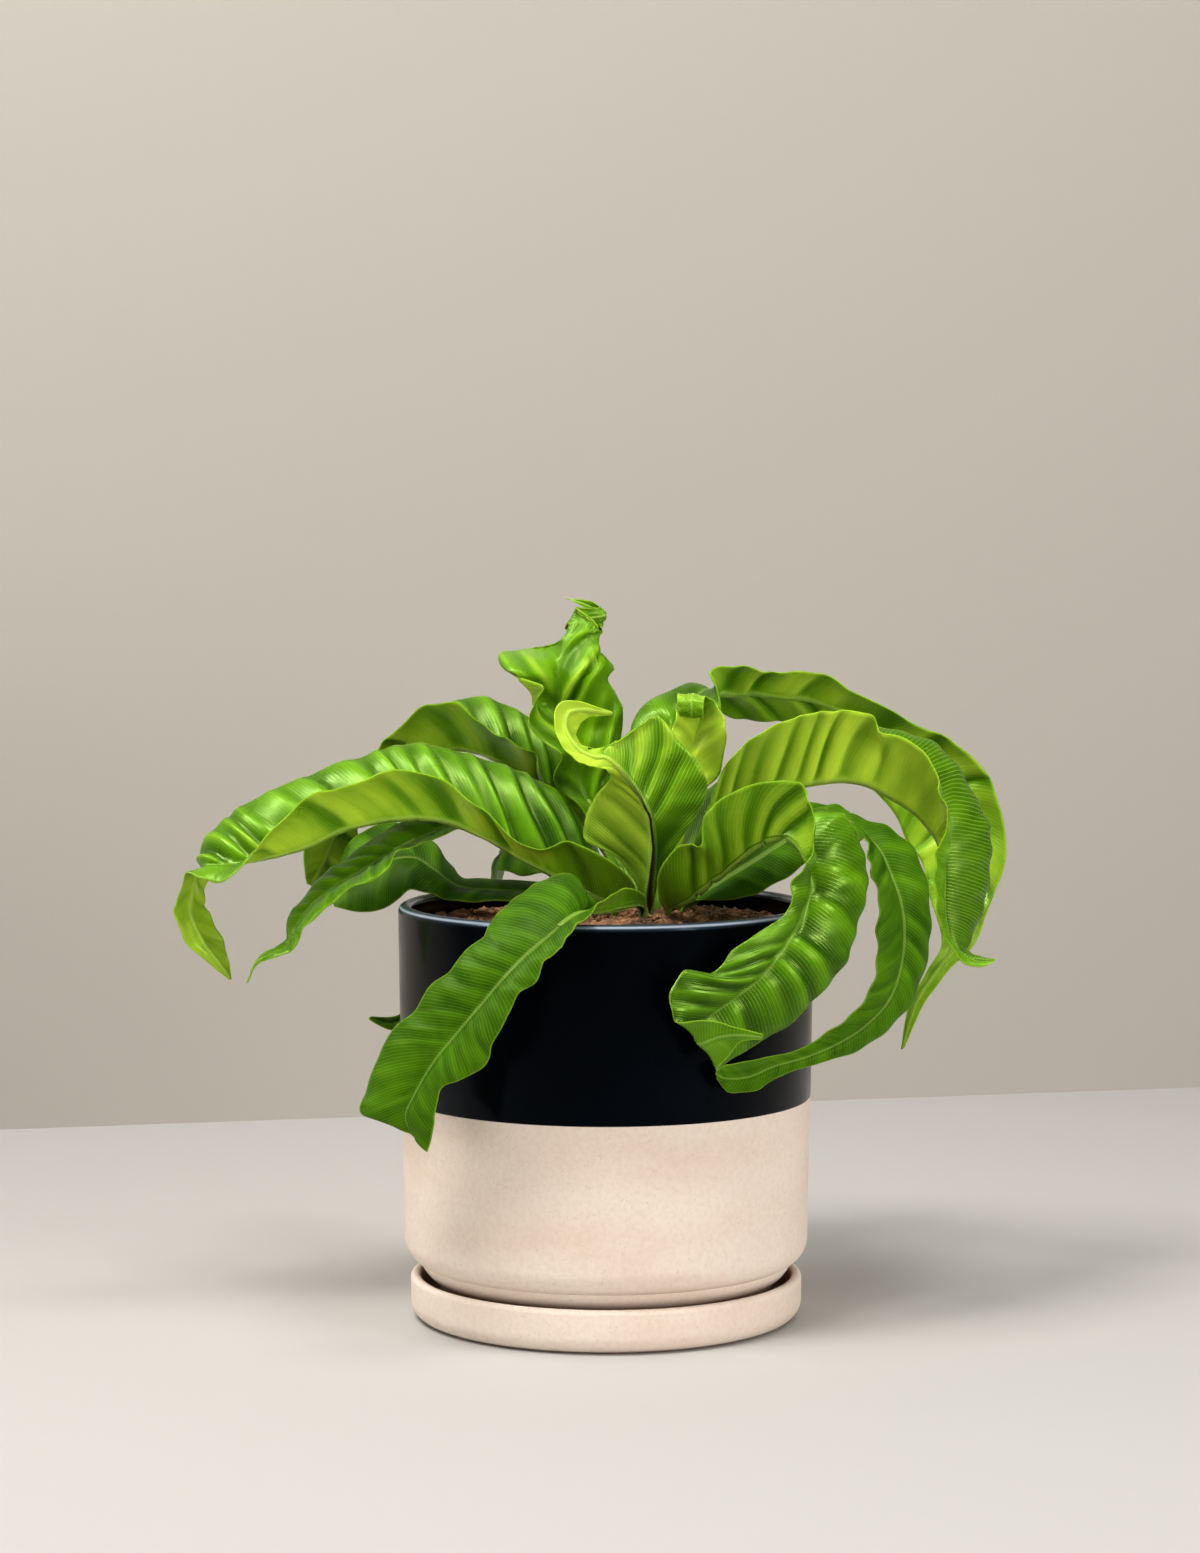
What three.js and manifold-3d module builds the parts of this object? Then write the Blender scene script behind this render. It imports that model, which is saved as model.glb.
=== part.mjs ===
// Potted bird's nest fern: a saucer, a planter filled with soil, and one solid for each frond.
// Millimetres, +Z up, origin at the middle of the saucer's flat underside.
import * as THREE from 'three';
import { mergeVertices } from 'three/addons/utils/BufferGeometryUtils.js';
import Module from 'manifold-3d';

const wasm = await Module();
wasm.setup();

const group = new THREE.Group();
group.name = 'potted_fern';

const glaze = new THREE.MeshStandardMaterial({ color: 0x0b0d12, roughness: 0.25, metalness: 0 });
const clay = new THREE.MeshStandardMaterial({ color: 0xe8d6c6, roughness: 0.85, metalness: 0 });
const earth = new THREE.MeshStandardMaterial({ color: 0x3a2218, roughness: 1, metalness: 0 });
const leafGreen = new THREE.MeshStandardMaterial({ color: 0x4f8f14, roughness: 0.4, metalness: 0 });

// Planter and saucer sizes
const rimRadius = 82.5;
const rimHeight = 165;
const wall = 5.5;
const waistRadius = 80.7;
const footRadius = 68;
const potFloor = 6;
const saucerRadius = 78;
const saucerInner = 73.7;
const saucerHeight = 17.5;
const saucerFloor = 5.5;
const drainRadius = 7;

// Soil
const soilRadius = 76.2;
const soilLevel = 156.5;
const moundHeight = 5;
const moundReach = 66;
const crown = [14, 4];
const holeBottom = 151;
const holeRadius = 3.6;

// The eye of the photo: its distance in front of the pot's axis and its height.
// A frond point is [across, up, near]: where it lies on the upright plane through the axis
// as the eye sees it, and how far it stands nearer the eye than that plane.
const eyeDistance = 1455;
const eyeHeight = 318;

function fromEye([across, up, near]) {
  const k = near / eyeDistance;
  return new THREE.Vector3(across * (1 - k), -near, up * (1 - k) + eyeHeight * k);
}

function solidFrom(geometry) {
  const g = geometry.clone();
  g.deleteAttribute('normal');
  g.deleteAttribute('uv');
  const merged = mergeVertices(g, 1e-3);
  return new wasm.Manifold(new wasm.Mesh({
    numProp: 3,
    vertProperties: merged.attributes.position.array,
    triVerts: new Uint32Array(merged.index.array),
  }));
}

function geometryFrom(solid) {
  const m = solid.getMesh();
  const g = new THREE.BufferGeometry();
  const flat = new Float32Array(m.numVert * 3);
  for (let i = 0; i < m.numVert; i++) {
    for (let k = 0; k < 3; k++) flat[i * 3 + k] = m.vertProperties[i * m.numProp + k];
  }
  g.setAttribute('position', new THREE.BufferAttribute(flat, 3));
  g.setIndex([...m.triVerts]);
  g.computeVertexNormals();
  return g;
}

function add(name, geometry, material) {
  const mesh = new THREE.Mesh(geometry, material);
  mesh.name = name;
  group.add(mesh);
}

function arcPoints(cx, cz, r, from, to, count) {
  const points = [];
  for (let i = 0; i <= count; i++) {
    const t = from + ((to - from) * i) / count;
    points.push([cx + r * Math.cos(t), cz + r * Math.sin(t)]);
  }
  return points;
}

// Turns a closed [radius, height] outline about the Z axis.
function turned(outline, segments) {
  const profile = outline.map(([r, z]) => new THREE.Vector2(r, z));
  return new THREE.LatheGeometry(profile, segments).rotateX(Math.PI / 2);
}

function drum(radius, from, to, x, y, segments) {
  const g = new THREE.CylinderGeometry(radius, radius, to - from, segments);
  g.rotateX(Math.PI / 2).translate(x, y, (from + to) / 2);
  return solidFrom(g);
}

const quarter = Math.PI / 2;

// Saucer: one clay dish with a rounded lip and a rounded lower edge
{
  const lip = (saucerRadius - saucerInner) / 2;
  const outline = [
    [0, 0],
    ...arcPoints(saucerRadius - 7, 7, 7, -quarter, 0, 5),
    ...arcPoints(saucerRadius - lip, saucerHeight - lip, lip, 0, 2 * quarter, 5),
    ...arcPoints(saucerInner - 3, saucerFloor + 3, 3, 0, -quarter, 3),
    [0, saucerFloor],
  ];
  const dish = turned(outline, 48);
  add('saucer', geometryFrom(solidFrom(dish)), clay);
}

// Planter: one ceramic body, standing in the saucer on its narrow foot, with a drain hole
{
  const lip = wall / 2;
  const floorTop = potFloor + 8;
  const inner = rimRadius - wall;
  const outline = [
    [0, potFloor],
    [62, potFloor],
    ...arcPoints(63, potFloor + 2, 2, -quarter, -0.2, 2),
    [footRadius, 19.5],
    [71.5, 21],
    ...arcPoints(waistRadius - 10, 32, 10, -1.2, 0, 4),
    [81.6, 100],
    ...arcPoints(rimRadius - lip, rimHeight - lip, lip, 0, 2 * quarter, 5),
    [inner - 0.4, 100],
    [74.7, 40],
    ...arcPoints(62.5, floorTop + 12, 12, 0, -quarter, 3),
    [0, floorTop],
  ];
  const body = solidFrom(turned(outline, 56));
  const drain = drum(drainRadius, potFloor - 2, floorTop + 2, 0, 0, 24);
  add('pot', geometryFrom(body.subtract(drain)), glaze);
}

function soilHeight(x, y) {
  const away = Math.hypot(x - crown[0], y - crown[1]);
  const rise = Math.max(0, 1 - away / moundReach);
  const edge = Math.hypot(x, y) / soilRadius;
  const lumps = Math.sin(x * 0.31 + 1.3) * Math.sin(y * 0.27 + 0.4)
    + 0.6 * Math.sin(x * 0.11 - y * 0.19 + 2.1);
  return soilLevel + moundHeight * rise * rise * (3 - 2 * rise)
    + 0.7 * lumps * Math.max(0, 1 - edge ** 6);
}

// One frond: a foot [x, y] standing in the soil, then rows of [left margin, midrib, right margin]
// seen from foot to tip with the upper face up. steps is the number of bands between two rows.
// bows, by row: how far [across, up, near] the middles of the left and right halves stand off.
const fronds = {};

fronds.left_long = {
  foot: [3, -8], steps: 2,
  rows: [
    [[12, 170, 16], [2, 165, 8], [0, 173, -1]],
    [[3, 181, 22], [-9, 169, 10], [-7, 190, -9]],
    [[-14, 189.5, 24], [-21, 176.5, 11], [-15, 205, -13]],
    [[-29, 187, 24], [-33, 183, 10], [-29, 215, -14]],
    [[-46, 200, 21], [-49, 192, 9], [-43, 220.5, -14]],
    [[-63, 213.5, 17], [-66, 198.3, 8], [-62, 226, -14]],
    [[-84, 218.3, 16], [-84, 198.5, 8], [-78, 228.3, -12]],
    [[-103, 211.7, 18], [-103, 194.7, 9], [-98, 223, -11]],
    [[-117, 208.5, 19], [-119, 187.5, 9], [-119, 215.5, -10]],
    [[-134, 193, 19], [-135, 183, 9], [-138, 207, -8]],
    [[-150, 175, 17], [-149, 180.5, 7], [-150.5, 199, -8]],
    [[-160, 174.7, 14], [-158, 180, 4], [-161.5, 186, -9]],
    [[-167, 177, 9], [-162.5, 176.5, 2], [-158, 175.5, -9]],
    [[-170.3, 167, 5], [-165, 167, 0], [-159.5, 166.5, -8]],
    [[-172, 161, 3], [-165, 159, -2], [-157, 160, -9]],
    [[-167, 148.5, 1], [-160, 148.5, -3], [-152, 150, -10]],
    [[-156.5, 139.3, -3], [-153.5, 140, -5], [-150, 141.5, -8]],
    [[-150.3, 134.2, -6], [-149.6, 134.2, -6.5], [-148.9, 134.4, -7]],
  ],
};

fronds.left_low = {
  foot: [1, 3], steps: 2,
  rows: [
    [[-3, 165, -3], [-5, 168, -9], [-6, 170, -16]],
    [[-24, 180.5, -6], [-25, 186, -14], [-26, 193, -21]],
    [[-44, 191, -5], [-44, 196, -14], [-44, 203, -22]],
    [[-58, 194.6, -4], [-60, 196.3, -12], [-62, 203, -20]],
    [[-71, 189.5, 0], [-72, 191.3, -8], [-77, 198.5, -17]],
    [[-83, 185.5, 5], [-84, 185.2, -4], [-90, 192, -13]],
    [[-89, 176.5, 10], [-96, 178.5, -1], [-105, 181, -8]],
    [[-101, 171.5, 11], [-107, 171.5, 1], [-111, 177.5, -8]],
    [[-112, 162.5, 11], [-117, 163.5, 2], [-121, 166, -5]],
    [[-120.5, 155, 10], [-123.5, 154.5, 3], [-126.5, 159, -3]],
    [[-124, 147, 9], [-127, 147.5, 4], [-127, 151, 0]],
    [[-130, 143.8, 7], [-131, 145.5, 5], [-131.5, 147.3, 3]],
    [[-139, 140, 6], [-138.6, 142, 5], [-138, 143.5, 4.5]],
    [[-143.4, 132.8, 5], [-142.7, 133.1, 5], [-142, 133.4, 5]],
  ],
};

fronds.left_top = {
  foot: [7, 12], steps: 2,
  rows: [
    [[5, 183, -23], [3, 181, -27], [2, 185, -32]],
    [[-7, 199, -32], [-9, 196, -38], [-3, 207, -45]],
    [[-23.5, 212, -31], [-21, 206, -41], [-13, 225, -52]],
    [[-27, 223.5, -29], [-33, 215.5, -42], [-28, 237, -57]],
    [[-38, 230.3, -28], [-44, 222.5, -44], [-40, 244, -60]],
    [[-48, 235.5, -32], [-54, 226, -47], [-52, 247, -63]],
    [[-59, 244.8, -35], [-64, 226, -49], [-64, 243, -66]],
    [[-73, 243, -40], [-75, 222, -52], [-76, 237, -68]],
    [[-86, 231.5, -43], [-86, 215, -54], [-87, 228, -69]],
    [[-99, 218, -46], [-97, 205, -56], [-98, 214, -69]],
    [[-112, 205, -48], [-107, 193, -57], [-99, 198, -68]],
    [[-120, 186, -50], [-112, 182, -58], [-98, 182, -66]],
    [[-119, 172.5, -54], [-117.5, 172, -57], [-115.5, 172.5, -60]],
  ],
};

fronds.left_back_arm = {
  foot: [-6, 13], steps: 2,
  rows: [
    [[-11, 164.5, -8], [-13, 167, -15], [-12, 171, -21]],
    [[-27, 165.5, -10], [-29, 169, -19], [-28, 173.5, -27]],
    [[-44, 166, -12], [-44, 170, -22], [-43, 174.3, -32]],
    [[-60, 166, -15], [-58, 171.5, -25], [-57, 175, -36]],
    [[-69, 168.5, -19], [-68, 178, -29], [-63, 182, -41]],
    [[-78, 170.3, -22], [-76, 183, -32], [-71, 191, -45]],
    [[-83, 166, -24], [-86, 182, -34], [-84, 197, -46]],
    [[-90, 162, -26], [-95, 177, -35], [-97, 193, -46]],
    [[-99, 161.3, -28], [-103, 172, -35], [-105, 183, -43]],
    [[-108, 163.5, -31], [-108, 166, -34], [-108, 169, -38]],
  ],
};

fronds.back_left = {
  foot: [-2, 24], steps: 2,
  rows: [
    [[-12, 168, -34], [-12, 172, -40], [-9, 175, -45]],
    [[-24, 176.5, -44], [-25, 182, -54], [-23, 187, -63]],
    [[-33, 175.5, -56], [-35, 186, -64], [-33, 192, -76]],
    [[-43.5, 177.5, -68], [-42, 184.5, -80], [-38, 189, -93]],
    [[-47.5, 166, -91], [-46, 171, -104], [-41, 175, -116]],
    [[-55, 151, -98], [-56, 156, -112], [-51, 160, -125]],
    [[-64, 134, -92], [-69, 138, -104], [-66, 140, -116]],
    [[-74, 119, -82], [-77, 124, -90], [-76, 128, -98]],
    [[-84, 114, -72], [-84.5, 117, -76], [-83, 120, -80]],
    [[-94, 118, -64], [-94, 118.8, -64.8], [-93.6, 119.5, -65.6]],
  ],
};

fronds.top_center = {
  foot: [11, 5], steps: 2,
  bows: { 6: [[-5, -2.5, -6], [0, 0, 2]], 7: [[-9, -3, -8], [0, 0, 4]], 8: [[-2, 0, 8], [0, 0, 5]],
    9: [[0, 0, 3], [0, 0, 5]], 10: [[0, 0, -4], [0, 0, 4]], 11: [[0, 0, 0], [0, 0, 2]] },
  rows: [
    [[4, 176, -14], [7, 178, -16], [12, 177, -14]],
    [[-3, 190, -19], [1, 190, -22], [9, 190, -19]],
    [[-10, 203, -20], [-6, 203, -25], [6, 203, -23]],
    [[-20.5, 213, -20], [-11, 215, -27], [6, 215, -28]],
    [[-17.5, 224, -10], [-14, 226, -25], [6, 228, -30]],
    [[-29.5, 234, -13], [-16.5, 233, -26], [7, 236, -32]],
    [[-27.8, 244.5, -8], [-18, 240, -27], [6.7, 242, -32]],
    [[-25, 251.2, -5], [-18.7, 247, -27], [4, 248.5, -31]],
    [[-40, 257.4, -12], [-19, 253, -27], [0.8, 254, -28]],
    [[-41.8, 264.5, -22], [-18.7, 258.5, -27], [3.5, 258.5, -30]],
    [[-30, 266, -36], [-17.5, 264, -28], [-1.5, 264.5, -28]],
    [[-19, 268.5, -33], [-15.5, 270, -29], [-2.5, 269.5, -29]],
    [[-14.5, 276, -31], [-11.5, 276.5, -30], [-1.6, 274, -30]],
    [[-16.2, 273.5, -34.5], [-13.8, 278, -33.5], [-11.8, 281.7, -33]],
    [[-7, 273, -38.5], [-6, 278, -38], [-6.5, 282, -37]],
    [[-1.4, 274.8, -40], [0.2, 279.3, -40.5], [-2.6, 282.6, -40]],
    [[-8, 281.6, -43], [-7, 283.3, -43.5], [-7, 285, -43]],
    [[-16, 286.3, -45], [-15.4, 286, -45.2], [-15, 285.6, -45.5]],
  ],
};

fronds.center_front = {
  foot: [17, -6], steps: 2,
  rows: [
    [[20.5, 172, 7], [17.3, 170, 8], [11.5, 173, 5]],
    [[23.5, 181, 7], [18.2, 179, 9], [4, 183, 4]],
    [[30, 191, 8], [18.6, 189, 11], [-8.5, 190, 5]],
    [[36.5, 201, 9], [17.6, 198, 14], [-8, 200, 7]],
    [[40.3, 211, 10], [14.8, 205, 16], [-4, 208, 11]],
    [[36.5, 221, 11], [10, 212.5, 18], [1.5, 214.5, 18]],
    [[29, 229.5, 12], [5, 218.5, 21], [0, 217.8, 25]],
    [[20, 239.5, 13], [0, 222.5, 23], [-4.5, 219, 28]],
    [[10, 233, 17], [-5, 223, 25], [-9, 220.2, 30]],
    [[0, 226.7, 21], [-10, 225, 26], [-14, 223.5, 31]],
    [[-9, 227, 22], [-14, 229.5, 27], [-18.5, 229, 31]],
    [[-12, 231.5, 22], [-16.5, 235, 26], [-20.5, 236, 30]],
    [[-10, 236.5, 20], [-15, 240.5, 24], [-19, 244, 28]],
    [[-6.5, 238.8, 18], [-9, 241.8, 21], [-12, 245.3, 24]],
    [[-1, 239.5, 15], [-1.5, 240.8, 17], [-3, 242.7, 19]],
    [[2, 239.8, 13], [2.3, 240.4, 13.4], [2, 241.2, 14]],
  ],
};

fronds.small_coil = {
  foot: [20, 5], steps: 2,
  rows: [
    [[19, 173, -7], [21, 174, -8], [24, 174, -8]],
    [[19, 189, -9], [24, 189, -9], [30, 188, -9]],
    [[20, 204, -9], [27, 204, -11], [36, 206, -9]],
    [[24, 218, -8], [31, 217, -12], [45, 216, -10]],
    [[25, 230, -8], [34.5, 229, -13], [47.8, 230, -10]],
    [[27.5, 238, -8], [37, 238, -13], [47, 238.5, -10]],
    [[28.2, 244, -8], [36.5, 244.5, -11], [43, 245, -9]],
    [[28.5, 246.8, -4], [34.5, 247.2, -6], [39, 247, -5]],
    [[28.8, 245, -0.5], [34, 245, -1], [38.7, 245, -1]],
    [[29.2, 241.2, -1], [33.7, 241, -1.5], [38.4, 240.6, -1.5]],
    [[29.8, 240.2, -4], [33.6, 240, -4.5], [38, 239.5, -4.5]],
  ],
};

fronds.right_back = {
  foot: [18, 17], steps: 2,
  rows: [
    [[15, 178, -31], [20, 177, -29], [26, 177, -29]],
    [[10, 203, -47], [20, 200, -43], [31, 199, -41]],
    [[8, 226, -60], [23, 222, -55], [39, 220, -50]],
    [[14, 242.5, -70], [29, 238, -64], [46, 235, -52]],
    [[34, 253, -80], [38.5, 249.5, -70], [45, 245.5, -54]],
    [[46, 241, -86], [45, 248, -73], [40.5, 256.5, -58]],
    [[56, 237.8, -88], [56, 248.5, -75], [51, 259, -61]],
    [[70, 237, -86], [70, 247.5, -75], [67, 256.3, -63]],
    [[83, 231, -84], [86, 244.5, -74], [83, 256.8, -63]],
    [[95, 221, -80], [102, 236.5, -72], [99, 248.5, -62]],
    [[107, 209, -77], [118, 226, -70], [120, 237.2, -60]],
    [[115, 199.5, -74], [132, 214, -67], [138, 228.5, -58]],
    [[120, 188, -71], [141, 199, -64], [152.5, 214, -56]],
    [[125.5, 180.5, -67], [145, 182, -60], [159, 185, -53]],
    [[129, 166, -61], [142, 164, -56], [152, 163, -51]],
    [[133.5, 149, -55], [140, 149, -52], [146.5, 148, -48]],
    [[127.5, 137, -53], [132, 137.5, -50], [137, 138.5, -47]],
    [[120.5, 123, -50], [123.5, 124, -48], [126.5, 124, -46]],
    [[117.6, 106.2, -47], [118.4, 106.4, -46.6], [119.1, 107, -46]],
  ],
};

fronds.right_arch = {
  foot: [27, 8], steps: 2,
  rows: [
    [[29, 175, -16], [30, 172, -12], [33, 172, -6]],
    [[31, 192, -26], [35, 186, -17], [39, 188, -6]],
    [[37, 207, -28], [42, 198, -15], [43, 210, -3]],
    [[50, 219, -28], [52, 206, -13], [50, 223, 2]],
    [[62, 229, -26], [64, 211, -10], [62, 233, 6]],
    [[76, 235, -24], [78, 212.3, -8], [76, 239, 8]],
    [[91, 237.5, -22], [92, 214, -7], [90, 241.3, 8]],
    [[104, 236.5, -22], [103, 212.5, -7], [104.5, 240, 9]],
    [[117, 233.5, -23], [113, 207.3, -7], [109, 233, 9]],
    [[130, 229.3, -25], [122.5, 201.3, -6], [120.5, 229.3, 10]],
    [[140, 219.5, -25], [128.5, 194.8, -6], [130, 219, 10]],
    [[147, 207, -23], [132, 189.5, -5], [132, 209, 11]],
    [[152.3, 196.5, -21], [134, 183, -5], [135.5, 199, 9]],
    [[153.5, 186, -19], [134.5, 175, -4], [131, 185, 7]],
    [[152.5, 173, -17], [134.5, 166, -3], [130.2, 175, 7]],
    [[150, 161, -14], [135.3, 157, -2], [131.5, 162, 6]],
    [[145, 148.5, -7], [138, 149, -1], [134.5, 151.5, 4]],
    [[144.5, 145.8, -3], [143.5, 143.5, 1], [142, 141, 4]],
    [[149, 143.7, 0], [149, 141.5, 2], [149, 139.2, 4]],
    [[154.3, 142.6, 2], [154.7, 142, 2.4], [154.4, 141.3, 3]],
  ],
};

fronds.right_hook = {
  foot: [31, -3], steps: 2,
  rows: [
    [[33, 169, -3], [34, 165.5, 3], [35, 166, 9]],
    [[42, 184, -5], [45, 173, 6], [48, 166, 16]],
    [[54, 195, -2], [58, 181, 10], [60, 168.5, 21]],
    [[68, 203, 2], [72, 190, 14], [72, 175, 24]],
    [[81, 205, 6], [84, 197, 18], [86, 184, 30]],
    [[92, 204.3, 12], [95, 198, 23], [99, 188.5, 36]],
    [[99.5, 200, 16], [102.5, 192, 27], [103, 190, 39]],
    [[111.5, 196, 20], [109, 185, 31], [103.8, 183.5, 43]],
    [[122, 187.5, 24], [113, 176, 34], [105, 176, 45]],
    [[128, 173, 28], [117, 165, 37], [108, 166, 46]],
    [[129.6, 156, 30], [118.5, 152, 39], [107, 154, 48]],
    [[128, 141, 32], [117, 138.5, 42], [107.3, 142, 50]],
    [[122, 124.5, 38], [112.5, 126, 46], [104.5, 130, 53]],
    [[111, 112.5, 46], [103.5, 116, 52], [97, 120, 57]],
    [[99, 104.8, 54], [93, 109, 58], [88, 113.5, 61]],
    [[84, 100.2, 62], [80, 103.3, 64], [77, 106.5, 65]],
    [[70, 95.5, 68], [67, 99.5, 70], [64, 103.3, 70]],
    [[60, 89.6, 72], [57, 95.3, 74], [54, 101.3, 74]],
    [[49, 88.8, 75], [48, 94.5, 77], [47, 100, 77]],
    [[43.9, 94.5, 78], [43.7, 96.5, 78.4], [44, 98, 78.4]],
  ],
};

fronds.right_front = {
  foot: [25, -13], steps: 2,
  rows: [
    [[30, 167, 12], [27, 163.5, 18], [21, 166, 23]],
    [[38, 182, 14], [34, 167, 25], [21, 177, 34]],
    [[44, 192, 18], [41, 172.5, 30], [29, 188, 40]],
    [[50, 198, 22], [48, 178, 35], [37.3, 188, 49]],
    [[58, 202, 28], [55.5, 184.3, 40], [39, 200, 52]],
    [[67, 203.5, 34], [62.5, 188.7, 45], [51, 209.5, 55]],
    [[77, 204, 39], [68.5, 190.7, 49], [63, 213, 59]],
    [[86, 203, 43], [73.5, 189.5, 53], [76, 213, 63]],
    [[94, 200.5, 46], [77.5, 185.5, 57], [80.6, 204.5, 67]],
    [[99.5, 194, 48], [79.8, 180, 60], [82.6, 192, 70]],
    [[103, 184, 50], [81, 174, 62], [79.5, 181, 71]],
    [[104.4, 174, 52], [80.8, 168, 64], [73.3, 173, 70]],
    [[103, 164, 55], [79, 162, 67], [72.3, 162.5, 71]],
    [[99.3, 152, 60], [75, 153.5, 71], [61, 153.5, 77]],
    [[96, 141, 66], [69, 144.5, 76], [50, 146, 82]],
    [[87, 130, 70], [62, 135.5, 80], [42, 137, 86]],
    [[74, 116.5, 74], [51, 126.5, 84], [31, 138, 90]],
    [[59, 107.5, 80], [40.5, 118.5, 88], [25, 128.5, 93]],
    [[44.5, 98, 88], [36.5, 109, 93], [27.5, 117.5, 96]],
    [[49, 103.5, 96], [45, 111.5, 99], [40, 118, 101]],
    [[54, 109.5, 100], [53, 112.3, 102], [51, 115.3, 103]],
    [[62, 110.2, 103], [62.3, 111.2, 103.4], [62.6, 112.4, 104]],
  ],
};

fronds.front_left_drape = {
  foot: [14, -19], steps: 2,
  rows: [
    [[15, 168, 28], [12.5, 163.8, 29], [10, 165, 25]],
    [[8, 171, 41], [5, 162.3, 43], [4, 165, 36]],
    [[2, 168.3, 57], [-2, 161, 58], [-3, 165, 48]],
    [[-3.5, 164.8, 71], [-7, 160.8, 69], [-8.5, 169, 56]],
    [[-6.5, 160, 84], [-11, 160.3, 79], [-14, 176.5, 61]],
    [[-11.5, 156.8, 94], [-16, 157.3, 87], [-25, 174, 66]],
    [[-16, 151, 100], [-21, 153, 92], [-33, 169, 72]],
    [[-19.5, 145.8, 103], [-26, 148.8, 96], [-40, 163.5, 78]],
    [[-25, 141.5, 104], [-32, 143.7, 98], [-46, 157, 84]],
    [[-28, 133.2, 105], [-38, 137.7, 99], [-49, 151.3, 88]],
    [[-35, 128.8, 105], [-43.5, 131.6, 98], [-56, 146, 88]],
    [[-40, 118.5, 104], [-49, 125, 96], [-62.5, 137.5, 86]],
    [[-45.7, 108, 102], [-55, 118, 94], [-70, 132, 83]],
    [[-48.5, 99.5, 99], [-61, 110.8, 91], [-76.5, 121.5, 79]],
    [[-59, 93.5, 95], [-67, 103.5, 88], [-84.5, 115, 75]],
    [[-66, 90.3, 91], [-72, 96, 85], [-91, 103, 72]],
    [[-68.5, 80, 88], [-77, 87, 82], [-96, 89, 70]],
    [[-69.5, 72, 86], [-80, 79.5, 80], [-98, 80.5, 70]],
    [[-71.5, 64.8, 84], [-77.5, 72, 80], [-88, 77.5, 74]],
  ],
};

fronds.back_mid = {
  foot: [13, 26], steps: 3,
  rows: [
    [[6, 172, -42], [12, 172, -42], [18, 172, -42]],
    [[-1, 190, -60], [12, 188, -62], [24, 190, -60]],
    [[-3, 203, -80], [14, 200, -84], [31, 203, -80]],
    [[0, 205, -102], [17, 203, -106], [34, 206, -102]],
    [[6, 199, -124], [20, 197, -128], [35, 200, -124]],
    [[13, 185, -142], [23, 184, -145], [33, 187, -142]],
    [[26.5, 165, -154], [27.5, 164.8, -154.6], [28.5, 165.4, -154]],
  ],
};

fronds.back_right = {
  foot: [28, 19], steps: 3,
  rows: [
    [[31, 177, -35], [33, 175, -30], [36, 176, -26]],
    [[41, 192, -64], [48, 188, -57], [55, 192, -46]],
    [[50, 204, -90], [60, 197, -80], [70, 201, -66]],
    [[64, 207, -112], [73, 199, -102], [82, 200, -88]],
    [[78, 200, -130], [85, 194, -120], [92, 193, -108]],
    [[90, 186, -140], [94, 183, -133], [98, 182, -126]],
    [[99.5, 170, -138], [100, 169.6, -137.4], [100.6, 170, -137]],
  ],
};

fronds.back_far_left = {
  foot: [4, 20], steps: 3,
  rows: [
    [[0, 181, -34], [-2, 181, -41], [-2, 184, -47]],
    [[-20, 196, -52], [-19, 193, -66], [-12, 199, -78]],
    [[-38, 203, -70], [-34, 201, -86], [-26, 205, -100]],
    [[-54, 208, -88], [-49, 205, -104], [-40, 209, -118]],
    [[-68, 208, -106], [-62, 204, -120], [-54, 208, -132]],
    [[-78, 203, -124], [-73, 201, -134], [-66, 204, -142]],
    [[-84.5, 198, -142], [-84, 197.6, -142.8], [-83.4, 198, -143.6]],
  ],
};

function spline(points, at) {
  const i = Math.min(Math.floor(at), points.length - 2);
  const t = at - i;
  const p = (k) => points[Math.max(0, Math.min(points.length - 1, k))];
  const a = p(i - 1), b = p(i), c = p(i + 1), d = p(i + 2);
  const out = new THREE.Vector3();
  for (const k of ['x', 'y', 'z']) {
    out[k] = 0.5 * (2 * b[k] + (c[k] - a[k]) * t
      + (2 * a[k] - 5 * b[k] + 4 * c[k] - d[k]) * t * t
      + (3 * b[k] - a[k] - 3 * c[k] + d[k]) * t * t * t);
  }
  return out;
}

const stalkRadius = 1.6;
const stalkLift = 1.2;
const bladeThickness = 0.8;
const ribThickness = 1.7;
const halfArch = 0.1;
const edgeWave = 1;
const edgeScallop = 0.35;

// How far an edge has swung out of the blade's plane: nothing at a row, most half-way to the next,
// none on the stalk and at the tip, and less where the blade is narrow
function edgeSwing(row, rowCount, halfWidth) {
  const fade = Math.min(1, Math.max(0, row - 3) / 2, Math.max(0, rowCount - 1 - row) / 1.5, halfWidth / 12);
  return fade * 0.5 * (1 - Math.cos(2 * Math.PI * row));
}

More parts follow.
